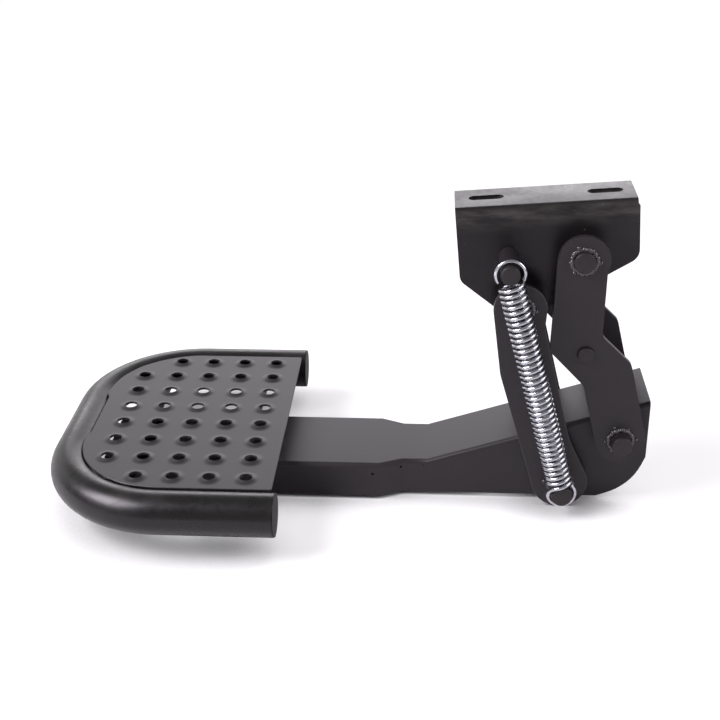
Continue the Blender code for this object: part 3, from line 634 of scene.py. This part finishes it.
def weld_tree():
    """Weld beads: overlapping ripples along each line of the mesh."""
    name = "weld ripples"
    if name in bpy.data.node_groups:
        return bpy.data.node_groups[name]
    inputs = [("Bead", "Float"), ("Spacing", "Float"), ("Spread", "Float"), ("Smallest", "Float"),
              ("Largest", "Float"), ("Seed", "Int"), ("Coat", "Material")]
    tree, nodes, given, end = geometry_tree(name, inputs)
    line = nodes.add("GeometryNodeMeshToCurve", {"Mesh": given["Geometry"]}).outputs[0]
    spaced = {"Curve": line, "Length": given["Spacing"]}
    even = nodes.add("GeometryNodeResampleCurve", spaced, mode="LENGTH")
    points = nodes.add("GeometryNodeCurveToPoints", {"Curve": even.outputs[0]}, mode="EVALUATED")
    room = {"Min": (-1.0, -0.3, -1.0), "Max": (1.0, 0.3, 1.0), "Seed": given["Seed"]}
    stray = nodes.add("FunctionNodeRandomValue", room, data_type="FLOAT_VECTOR")
    scaled = {0: stray.outputs[0], "Scale": given["Spread"]}
    move = nodes.add("ShaderNodeVectorMath", scaled, operation="SCALE")
    moved = {"Geometry": points.outputs["Points"], "Offset": move.outputs["Vector"]}
    placed = nodes.add("GeometryNodeSetPosition", moved)
    span = {2: given["Smallest"], 3: given["Largest"], "Seed": given["Seed"]}
    size = nodes.add("FunctionNodeRandomValue", span, data_type="FLOAT")
    ball = nodes.add("GeometryNodeMeshIcoSphere", {"Radius": given["Bead"], "Subdivisions": 2})
    ripples = nodes.add("GeometryNodeInstanceOnPoints", {
        "Points": placed.outputs[0], "Instance": ball.outputs[0],
        "Rotation": points.outputs["Rotation"], "Scale": size.outputs[1]})
    close_tree(nodes, end, ripples.outputs[0], given["Coat"])
    return tree


def ring_of_points(centre, radius, y, steps=24):
    """Circle of points on the plane at Y, round the centre."""
    return [Vector((centre.x + radius * math.cos(2.0 * math.pi * step / steps), y,
                    centre.z + radius * math.sin(2.0 * math.pi * step / steps))) for step in range(steps)]


def weld(name, body, rings, seed, drops=False):
    """Ripples or drops of one body along closed rings, each a list of points."""
    sizes = bpy.context.scene.step_welds
    bm = bmesh.new()
    for points in rings:
        verts = [bm.verts.new(point) for point in points]
        for pair in zip(verts, verts[1:] + verts[:1]):
            bm.edges.new(pair)
    lines = mesh_of(bm, name)
    values = {"Bead": sizes.bead, "Spacing": sizes.spacing, "Spread": sizes.spread, "Seed": seed,
              "Smallest": sizes.smallest, "Largest": sizes.largest, "Coat": weld_coat()}
    if drops:
        values.update({"Bead": sizes.drop, "Spacing": sizes.drop_spacing, "Spread": sizes.drop_spread})
    mesh = run_tree(scratch(name, lines), weld_tree(), values)
    return finished(name, smooth(mesh), body)


def belt(stops):
    """Outline like a belt round discs, taken the positive way round. A stop is (x, y, radius, side),
    and side is -1 where the disc lies outside and hollows the outline."""
    normals = []
    for here, after in zip(stops, stops[1:] + stops[:1]):
        step_x = after[0] - here[0]
        step_y = after[1] - here[1]
        distance = math.hypot(step_x, step_y)
        cosine = (here[2] * here[3] - after[2] * after[3]) / distance
        sine = math.sqrt(1.0 - cosine * cosine)
        across = (step_x * cosine + step_y * sine) / distance
        along = (step_y * cosine - step_x * sine) / distance
        normals.append(math.atan2(along, across))
    outline = []
    for index, (x, y, radius, side) in enumerate(stops):
        start = normals[index - 1]
        turn = ((normals[index] - start) * side) % (2.0 * math.pi)
        steps = max(1, math.ceil(turn / BELT_STEP))
        for step in range(steps + 1):
            heading = start + side * turn * step / steps
            outline.append((x + side * radius * math.cos(heading), y + side * radius * math.sin(heading)))
    return outline


class STEP_OT_channels(bpy.types.Operator):
    """Bracket and arm: folded channels with rounded, worn edges"""
    bl_idname = "bumper_step.channels"
    bl_label = "Bracket and arm"

    def execute(self, context):
        sizes = context.scene.step_steel
        finish = context.scene.step_finishes
        bracket_coat = shared("bracket_coat", powder_coat, finish.bracket_gloss, marks=fold_streaks,
                              sheen=0.3)
        rounded_steel("bracket_channel", merged_copy("mount_bracket"), "bracket", ["mount_bracket"],
                      [bracket_coat, worn_edge()], sizes.edge_round)
        corners = [vertex.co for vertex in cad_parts["step_arm"].data.vertices]
        top = max(corner.z for corner in corners if corner.x < sizes.notch_places[0])
        cutter = bmesh.new()
        for x, drop, radius in zip(sizes.notch_places, sizes.notch_drops, sizes.notch_radii):
            place = Matrix.Translation((x, 0.0, top - drop)) @ Matrix.Rotation(math.pi / 2.0, 4, "X")
            bmesh.ops.create_cone(cutter, cap_ends=True, segments=16, radius1=radius,
                                  radius2=radius, depth=CUTTER_DEPTH, matrix=place)
        notches = scratch("notches", mesh_of(cutter, "notches"))
        rounded_steel("arm_channel", merged_copy("step_arm"), "arm", ["step_arm"],
                      [black_coat(), worn_edge()], sizes.edge_round, notches)
        return {"FINISHED"}


class STEP_OT_links(bpy.types.Operator):
    """Four link plates and two cross bars with rounded, worn edges"""
    bl_idname = "bumper_step.links"
    bl_label = "Link plates and cross bars"

    def execute(self, context):
        pieces = [(f"{body}_plate_{side}", f"{body}_{side}", body)
                  for body in ("outer_link", "inner_link") for side in ("near", "far")]
        pieces += [(f"{end}_bar", f"{end}_cross_bar", "arm") for end in ("front", "rear")]
        for name, node, body in pieces:
            rounded_steel(name, merged_copy(node), body, [node], [black_coat(), worn_edge()],
                          context.scene.step_steel.edge_round)
        return {"FINISHED"}


class STEP_OT_pins(bpy.types.Operator):
    """Turned pins, spring stud and hinge sleeves"""
    bl_idname = "bumper_step.pins"
    bl_label = "Pins and sleeves"

    PINS = {
        "bracket": ["spring_stud"],
        "outer_link": ["outer_hinge_pin", "lower_outer_pin"],
        "inner_link": ["inner_hinge_pin", "lower_inner_pin", "tie_pin"],
    }
    SLEEVES = {
        "bracket": ["outer_hinge_sleeve", "inner_hinge_sleeve"],
        "arm": ["lower_outer_sleeve", "lower_inner_sleeve"],
    }

    def turn(self, sizes, node, body, diameter, rounding, bore=0.0):
        """The node's bar or sleeve, turned with rounded ends."""
        low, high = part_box(node)
        middle = node_centre(node)
        profile = bar_profile(diameter / 2.0, rounding, low.y, high.y, bore)
        mesh = turned(profile, (middle.x, 0.0, middle.z), (0.0, 1.0, 0.0), sizes.turned_sides)
        mesh.materials.append(black_coat())
        finished(f"turned_{node}", mesh, body, [node])

    def execute(self, context):
        sizes = context.scene.step_steel
        special = {"spring_stud": sizes.stud_diameter, "tie_pin": sizes.tie_diameter}
        for body, nodes in self.PINS.items():
            for node in nodes:
                diameter = special.get(node, sizes.pin_diameter)
                self.turn(sizes, node, body, diameter, sizes.pin_round)
        bore = sizes.pin_diameter / 2.0 + sizes.pin_play
        for body, nodes in self.SLEEVES.items():
            for node in nodes:
                self.turn(sizes, node, body, sizes.sleeve_diameter, sizes.sleeve_round, bore)
        return {"FINISHED"}


class STEP_OT_welds(bpy.types.Operator):
    """Weld beads round the pins"""
    bl_idname = "bumper_step.welds"
    bl_label = "Welds"

    PINS = {
        "outer_link": ("outer_hinge_pin", "lower_outer_pin"),
        "inner_link": ("inner_hinge_pin", "lower_inner_pin"),
    }

    def execute(self, context):
        sizes = context.scene.step_welds
        radius = context.scene.step_steel.pin_diameter / 2.0
        kinds = (("weld", sizes.reach, False), ("weld_drops", sizes.drop_reach, True))
        for seed, (body, nodes) in enumerate(self.PINS.items(), WELD_SEED):
            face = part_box(f"{body}_near")[0].y
            for name, reach, drops in kinds:
                rings = [ring_of_points(node_centre(node), radius + reach, side * face)
                         for node in nodes for side in (1.0, -1.0)]
                weld(f"{name}_{body}", body, rings, seed, drops)
        return {"FINISHED"}


class STEP_OT_rim(bpy.types.Operator):
    """Bent rim tube with its two moulded plugs"""
    bl_idname = "bumper_step.rim"
    bl_label = "Rim tube and plugs"

    def execute(self, context):
        sizes = context.scene.step_platform
        finish = context.scene.step_finishes
        low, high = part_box("rim_tube")
        radius = sizes.tube_diameter / 2.0
        middle_z = (low.z + high.z) / 2.0
        half = high.y - radius
        front = low.x + radius
        rear = high.x
        corner = sizes.tube_corner
        points = [Vector((rear, -half, middle_z))]
        for centre_y, first in ((corner - half, -math.pi / 2.0), (half - corner, math.pi)):
            for step in range(sizes.tube_corner_steps + 1):
                turn = first - math.pi / 2.0 * step / sizes.tube_corner_steps
                points.append(Vector((front + corner + corner * math.cos(turn),
                                      centre_y + corner * math.sin(turn), middle_z)))
        points.append(Vector((rear, half, middle_z)))
        coat = shared("tube_coat", powder_coat, finish.tube_gloss, peel=0.00005, base=finish.tube,
                      sheen=0.45)
        mesh = round_bar("bent_rim", points, radius, sizes.tube_sides, coat)
        finished("bent_rim", mesh, "arm", ["rim_tube"])
        seat = rear + sizes.plug_gap
        crown = seat + sizes.plug_flange
        for node in ("tube_plug_near", "tube_plug_far"):
            low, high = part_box(node)
            flange = (high.z - low.z) / 2.0
            profile = [(0.0, seat), (flange - sizes.plug_round, seat), (flange, seat + sizes.plug_round)]
            for step in range(PLUG_DOME_STEPS + 1):
                part = 1.0 - step / PLUG_DOME_STEPS
                profile.append((flange * part, crown + sizes.plug_dome * (1.0 - part ** 2)))
            place = (0.0, (low.y + high.y) / 2.0, middle_z)
            mesh = turned(profile, place, (1.0, 0.0, 0.0), context.scene.step_steel.turned_sides)
            mesh.materials.append(shared("plug_plastic", moulded_plastic))
            finished(f"moulded_{node}", mesh, "arm", [node])
        return {"FINISHED"}


class STEP_OT_tread(bpy.types.Operator):
    """Tread sheet with pressed-up holes on a square grid"""
    bl_idname = "bumper_step.tread"
    bl_label = "Tread"

    def dimple(self, sizes, low):
        """One pressed-up hole: a ring from the sheet up to its lip and back under."""
        high = low + sizes.sheet
        lip = sizes.dimple_lip
        span = sizes.dimple_base - sizes.hole - lip
        profile = []
        for step in range(sizes.dimple_steps + 1):
            part = step / sizes.dimple_steps
            rise = part ** sizes.dimple_bend
            profile.append((sizes.dimple_base - span * part, high + sizes.dimple_height * rise))
        crown = high + sizes.dimple_height
        for step in range(1, LIP_STEPS + 1):
            turn = math.pi / 2.0 * step / LIP_STEPS
            profile.append((sizes.hole + lip * (1.0 - math.sin(turn)),
                            crown - lip * (1.0 - math.cos(turn))))
        profile.append((sizes.hole, crown - sizes.sheet))
        for step in range(1, UNDERSIDE_STEPS + 1):
            part = step / UNDERSIDE_STEPS
            rise = (1.0 + math.cos(math.pi * part)) / 2.0
            profile.append((sizes.hole + (span + lip) * part, low + sizes.dimple_height * rise))
        bm = bmesh.new()
        rings = []
        for radius, z in profile:
            ring = []
            for index in range(sizes.dimple_sides):
                turn = 2.0 * math.pi * index / sizes.dimple_sides
                ring.append(bm.verts.new((radius * math.cos(turn), radius * math.sin(turn), z)))
            rings.append(ring)
        close_rings(bm, rings)
        return mesh_of(bm, "dimple")

    def grid_tree(self):
        """Copies of the given piece on a grid without its two front corners."""
        inputs = [("Columns", "Int"), ("Rows", "Int"), ("Pitch", "Float"), ("Centre", "Float"),
                  ("Coat", "Material")]
        tree, nodes, given, end = geometry_tree("holes on a grid", inputs)
        long_side, short_side = (
            nodes.maths("MULTIPLY", nodes.maths("SUBTRACT", given[way], 1.0), given["Pitch"])
            for way in ("Rows", "Columns"))
        size = {"Size X": short_side, "Size Y": long_side,
                "Vertices X": given["Columns"], "Vertices Y": given["Rows"]}
        grid = nodes.add("GeometryNodeMeshGrid", size)
        position = nodes.add("GeometryNodeInputPosition").outputs[0]
        place = nodes.add("ShaderNodeSeparateXYZ", {0: position}).outputs
        front_line = nodes.maths("MULTIPLY", short_side, -ALMOST_HALF)
        side_line = nodes.maths("MULTIPLY", long_side, ALMOST_HALF)
        at_front = nodes.maths("LESS_THAN", place["X"], front_line)
        at_side = nodes.maths("GREATER_THAN", nodes.maths("ABSOLUTE", place["Y"]), side_line)
        corners = nodes.maths("MULTIPLY", at_front, at_side)
        kept = nodes.add("GeometryNodeDeleteGeometry", {"Geometry": grid.outputs[0], "Selection": corners})
        centre = nodes.add("ShaderNodeCombineXYZ", {"X": given["Centre"]}).outputs[0]
        moved = nodes.add("GeometryNodeSetPosition", {"Geometry": kept.outputs[0], "Offset": centre})
        copied = {"Points": moved.outputs[0], "Instance": given["Geometry"]}
        copies = nodes.add("GeometryNodeInstanceOnPoints", copied)
        close_tree(nodes, end, copies.outputs[0], given["Coat"])
        return tree

    def outline(self, sizes):
        """Plan of the sheet, which lies on the inner flank of the tube."""
        low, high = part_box("rim_tube")
        radius = sizes.tube_diameter / 2.0
        inset = math.sqrt(radius ** 2 - sizes.seat ** 2)
        half = high.y - radius - inset
        front = low.x + radius + inset
        rear = high.x - sizes.rear_setback
        corner_x = low.x + radius + sizes.tube_corner
        corner_y = high.y - radius - sizes.tube_corner
        corner = sizes.tube_corner - inset
        recess = front + sizes.recess
        shoulder = corner_y - sizes.recess_inset
        hollow = shoulder - sizes.recess_flank
        # Two equal arcs of the largest radius would fill the flank without a straight between them
        ease = (sizes.recess ** 2 + sizes.recess_flank ** 2) / (4.0 * sizes.recess) * sizes.recess_ease
        return belt([
            (rear - sizes.corner, -half + sizes.corner, sizes.corner, 1),
            (rear - sizes.corner, half - sizes.corner, sizes.corner, 1),
            (corner_x, corner_y, corner, 1),
            (front + ease, shoulder, ease, 1),
            (recess - ease, hollow, ease, -1),
            (recess - ease, -hollow, ease, -1),
            (front + ease, -shoulder, ease, 1),
            (corner_x, -corner_y, corner, 1),
        ])

    def edge_loops(self, bm, sizes, low):
        """Rings of vertices from the sheet's upper face over its rounded edge to the lower face."""
        rounding = sizes.edge_round
        high = low + sizes.sheet
        path = self.outline(sizes)
        loops = []
        for inset, z in ((rounding, high), (0.0, high - rounding), (0.0, low + rounding), (rounding, low)):
            verts = []
            for index, (x, y) in enumerate(path):
                before, after = path[index - 1], path[(index + 1) % len(path)]
                way = Vector((after[0] - before[0], after[1] - before[1])).normalized()
                wave = sizes.edge_wave * (1.0 + noise.noise(Vector((x, y, 0.0)) * WAVES_PER_METRE))
                verts.append(bm.verts.new((x - way.y * (inset + wave), y + way.x * (inset + wave), z)))
            loops.append(verts)
        return loops

    def execute(self, context):
        sizes = context.scene.step_platform
        finish = context.scene.step_finishes
        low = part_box("tread_plate")[0].z
        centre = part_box("rim_tube")[0].x + sizes.tube_diameter / 2.0 + sizes.front
        coat = shared("tread_coat", powder_coat, finish.tread_gloss, marks=crest_scuffs)
        values = {"Columns": sizes.columns, "Rows": sizes.rows, "Pitch": sizes.pitch, "Centre": centre,
                  "Coat": coat}
        dimples = run_tree(scratch("dimples", self.dimple(sizes, low)), self.grid_tree(), values)
        bm = bmesh.new()
        bm.from_mesh(dimples)
        middle = low + sizes.sheet / 2.0
        skins = {True: [], False: []}
        for edge in bm.edges:
            if len(edge.link_faces) == 1:
                skins[edge.verts[0].co.z > middle].append(edge)
        loops = self.edge_loops(bm, sizes, low)
        close_rings(bm, loops)
        for verts, top in ((loops[0], True), (loops[-1], False)):
            edges = [bm.edges.get(pair) for pair in zip(verts, verts[1:] + verts[:1])]
            bmesh.ops.triangle_fill(bm, edges=edges + skins[top], use_beauty=True, use_dissolve=False)
        bmesh.ops.recalc_face_normals(bm, faces=bm.faces)
        mesh = mesh_of(bm, "pressed_tread")
        mesh.materials.append(coat)
        flat_shading(finished("pressed_tread", smooth(mesh), "arm", ["tread_plate"]))
        return {"FINISHED"}


class STEP_OT_spring(bpy.types.Operator):
    """Zinc-plated return spring from the stud to the long pin"""
    bl_idname = "bumper_step.spring"
    bl_label = "Return spring"

    def path(self, sizes, steel, span):
        """Centre line of the wire: X across, Y back, Z up the coil, the stud at the origin."""
        sag = sizes.loop - sizes.wire / 2.0 - steel.stud_diameter / 2.0 - sizes.play
        lift = sizes.hook - sizes.wire / 2.0 - steel.pin_diameter / 2.0 - sizes.play
        slope = (span - sizes.coil_shy - sizes.coil_start) / sizes.turns / (2.0 * math.pi)
        last = sizes.turns * 2.0 * math.pi

        def loop(turn):
            return Vector((-sizes.loop * math.cos(turn), 0.0, -sag + sizes.loop * math.sin(turn)))

        def hook(turn):
            return Vector((-sizes.hook * math.cos(turn), 0.0, lift - span - sizes.hook * math.sin(turn)))

        def coil(turn):
            down = turn / last
            aside = sizes.coil_top_aside * (1.0 - down) + sizes.coil_foot_aside * down
            return Vector((aside + sizes.coil * math.cos(turn), -sizes.coil * math.sin(turn),
                           -sizes.coil_start - slope * turn))

        def sweep(way, start, end, steps):
            return [way(start + (end - start) * step / steps) for step in range(steps + 1)]

        def bridge(start, start_pull, end, end_pull, steps=16):
            """Smooth curve between two points, which leaves and meets them along the pulls."""
            points = []
            for step in range(1, steps):
                t = step / steps
                points.append(start * (2 * t ** 3 - 3 * t ** 2 + 1) + start_pull * (t ** 3 - 2 * t ** 2 + t)
                              + end * (3 * t ** 2 - 2 * t ** 3) + end_pull * (t ** 3 - t ** 2))
            return points

        heading = (coil(last + SHORT_TURN) - coil(last - SHORT_TURN)).normalized()
        points = sweep(loop, sizes.loop_start, sizes.loop_end, sizes.points)
        points += bridge(points[-1], LOOP_PULL, coil(0.0), COIL_TOP_PULL)
        points += sweep(coil, 0.0, last, round(sizes.turns * sizes.points))
        points += bridge(points[-1], heading * COIL_FOOT_PULL, hook(sizes.hook_start), HOOK_PULL)
        points += sweep(hook, sizes.hook_start, sizes.hook_end, sizes.points)
        return points

    def execute(self, context):
        sizes = context.scene.step_spring
        steel = context.scene.step_steel
        stud = node_centre("spring_stud")
        pin = node_centre("lower_outer_pin")
        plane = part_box("return_spring")[0].y + sizes.coil + sizes.wire / 2.0
        down = Vector((pin.x - stud.x, 0.0, pin.z - stud.z))
        lean = math.atan2(down.x, -down.z)
        turn = Matrix.Rotation(-lean, 3, "Y")
        origin = Vector((stud.x, plane, stud.z))
        points = [origin + turn @ point for point in self.path(sizes, steel, down.length)]
        mesh = round_bar("zinc_spring", points, sizes.wire / 2.0, sizes.wire_sides,
                         shared("zinc_plate", zinc_plate))
        piece = finished("zinc_spring", mesh, "spring", ["return_spring"])
        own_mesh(piece)
        return {"FINISHED"}


class STEP_OT_stage(bpy.types.Operator):
    """Pale floor, soft studio light and the camera"""
    bl_idname = "bumper_step.stage"
    bl_label = "Stage"

    def seen_directly(self, nodes):
        """1 for rays that meet the bright background."""
        path = nodes.add("ShaderNodeLightPath").outputs
        return nodes.maths("MAXIMUM", path["Is Camera Ray"], path["Is Transmission Ray"])

    def floor(self, stage):
        """Floor that glows by itself in the picture, its glow dimmed under the object as a painted contact
        shadow, and glows far behind the step in reflections.
        """
        bm = bmesh.new()
        level = CAD_BOX[0].z - FLOOR_GAP
        half = stage.floor_size / 2.0
        centre = Matrix.Translation((0.0, stage.floor_end - half, level))
        bmesh.ops.create_grid(bm, x_segments=4, y_segments=4, size=half, matrix=centre)
        mesh = mesh_of(bm, "floor")
        material, nodes, shader, place = new_material("floor")
        shader.inputs["Base Color"].default_value = (*stage.floor, 1.0)
        shader.inputs["Roughness"].default_value = 0.9
        shader.inputs["Specular IOR Level"].default_value = 0.1
        soft = nodes.add("ShaderNodeBsdfDiffuse", {"Color": (*stage.floor_seen, 1.0)})
        reach = {"Distance": stage.painted_contact_shadow_reach}
        # Where the occlusion is low the glow fades: a painted contact shadow under the object, on top of its
        # real shadow.
        occlusion_for_painted_shadow = nodes.add("ShaderNodeAmbientOcclusion", reach, samples=8).outputs["AO"]
        strength = nodes.ramp(occlusion_for_painted_shadow, low=0.35, high=0.95, to_high=stage.glow)
        glow = nodes.add("ShaderNodeEmission", {"Color": GLOW_COLOUR, "Strength": strength})
        both = nodes.add("ShaderNodeAddShader", {0: soft.outputs[0], 1: glow.outputs[0]})
        glossy = nodes.add("ShaderNodeLightPath").outputs["Is Glossy Ray"]
        depth = nodes.add("ShaderNodeSeparateXYZ", {0: place}).outputs["Y"]
        low, high = stage.mirrored_from
        far = nodes.maths("MULTIPLY", glossy, nodes.ramp(depth, low, high, to_high=stage.mirrored))
        seen = nodes.maths("MAXIMUM", self.seen_directly(nodes), far)
        pick = nodes.add("ShaderNodeMixShader", {0: seen, 1: shader.outputs[0], 2: both.outputs[0]})
        out = nodes.tree.nodes["Material Output"]
        nodes.link(pick.outputs[0], out.inputs["Surface"])
        mesh.materials.append(material)
        scratch("floor", mesh)

    def room(self, stage):
        """White in the picture, grey walls in reflections, and a faint light on everything."""
        world = bpy.data.worlds.new("studio")
        bpy.context.scene.world = world
        world.use_nodes = True
        nodes = Nodes(world.node_tree)
        world.node_tree.nodes.clear()
        way = nodes.add("ShaderNodeTexCoord").outputs["Generated"]
        parts = nodes.add("ShaderNodeSeparateXYZ", {0: way}).outputs
        behind = nodes.ramp(parts["Y"], low=-0.1, high=0.5)
        under_ceiling = nodes.ramp(parts["Z"], low=0.75, high=0.35)
        backdrop = nodes.maths("MULTIPLY", behind, under_ceiling)
        walls = nodes.ramp(parts["Z"], low=0.6, high=0.25, to_low=stage.ceiling, to_high=stage.front_wall)
        strengths = (stage.world, nodes.maths("MAXIMUM", backdrop, walls), 1.0)
        light, mirrored, white = (
            nodes.add("ShaderNodeBackground", {"Color": WHITE, "Strength": strength}).outputs[0]
            for strength in strengths)
        path = nodes.add("ShaderNodeLightPath").outputs
        inside = nodes.add("ShaderNodeMixShader", {0: path["Is Glossy Ray"], 1: light, 2: mirrored})
        seen = self.seen_directly(nodes)
        pick = nodes.add("ShaderNodeMixShader", {0: seen, 1: inside.outputs[0], 2: white})
        nodes.add("ShaderNodeOutputWorld", {"Surface": pick.outputs[0]})

    def lamp(self, name, place, aim, power, size):
        """Soft rectangular light that the camera doesn't see."""
        light = bpy.data.lights.new(name, "AREA")
        light.shape = "RECTANGLE"
        light.size, light.size_y = size
        light.energy = power
        light.color = LAMP_COLOUR
        item = scratch(name, light)
        item.visible_camera = False
        item.location = place
        item.rotation_euler = (aim - place).to_track_quat("-Z", "Y").to_euler()

    def camera(self, stage):
        """Camera with the photograph's place, turn and lens."""
        pitch, yaw, roll = stage.pitch, stage.yaw, stage.roll
        level = Vector((-math.sin(yaw), math.cos(yaw), 0.0))
        forward = level * math.cos(pitch) - Vector((0.0, 0.0, math.sin(pitch)))
        right = Vector((math.cos(yaw), math.sin(yaw), 0.0))
        up = right.cross(forward)
        tilted = right * math.cos(roll) + up * math.sin(roll)
        upright = tilted.cross(forward)
        turn = Matrix((tilted, upright, -forward)).transposed()
        data = bpy.data.cameras.new("camera")
        data.lens = stage.lens
        data.sensor_width = SENSOR_WIDTH
        data.sensor_fit = "HORIZONTAL"
        item = scratch("camera", data)
        item.matrix_world = Matrix.Translation(stage.place) @ turn.to_4x4()
        bpy.context.scene.camera = item

    def execute(self, context):
        stage = context.scene.step_stage
        context.scene.view_settings.view_transform = "Standard"
        middle = (CAD_BOX[0] + CAD_BOX[1]) / 2.0
        self.floor(stage)
        self.room(stage)
        straight = Vector((stage.back_place.x, 0.0, stage.back_place.z))
        self.lamp("back_light", stage.back_place, straight, stage.back_light, stage.back_size)
        self.lamp("key_light", stage.key_place, middle, stage.key_light, stage.front_size)
        self.lamp("side_light", stage.side_place, middle, stage.side_light, stage.front_size)
        self.camera(stage)
        return {"FINISHED"}


PIECES = ("channels", "links", "pins", "welds", "rim", "tread", "spring", "stage")


class STEP_PT_panel(bpy.types.Panel):
    """Operators and sizes of the bumper step"""
    bl_idname = "STEP_PT_panel"
    bl_label = "Bumper Step"
    bl_space_type = "VIEW_3D"
    bl_region_type = "UI"
    bl_category = "Bumper Step"

    def draw(self, context):
        layout = self.layout
        for piece in PIECES:
            layout.operator(f"bumper_step.{piece}")
        for group in GROUPS:
            box = layout.box()
            values = getattr(context.scene, group)
            for key in values.bl_rna.properties.keys():
                if key not in ("rna_type", "name"):
                    box.prop(values, key)


GROUPS = {
    "step_steel": StepSteelSizes,
    "step_welds": StepWeldSizes,
    "step_platform": StepPlatformSizes,
    "step_spring": StepSpringSizes,
    "step_finishes": StepFinishes,
    "step_stage": StepStage,
}
CLASSES = (STEP_OT_channels, STEP_OT_links, STEP_OT_pins, STEP_OT_welds, STEP_OT_rim, STEP_OT_tread,
           STEP_OT_spring, STEP_OT_stage, STEP_PT_panel)


def register():
    """Sizes, operators and panel made known to Blender."""
    for group, kind in GROUPS.items():
        bpy.utils.register_class(kind)
        setattr(bpy.types.Scene, group, bpy.props.PointerProperty(type=kind))
    for kind in CLASSES:
        bpy.utils.register_class(kind)


def unregister():
    """Everything that register made known is taken back."""
    for kind in reversed(CLASSES):
        bpy.utils.unregister_class(kind)
    for group, kind in GROUPS.items():
        delattr(bpy.types.Scene, group)
        bpy.utils.unregister_class(kind)


def main():
    register()
    for piece in PIECES:
        getattr(bpy.ops.bumper_step, piece)()


if __name__ == "__main__":
    main()
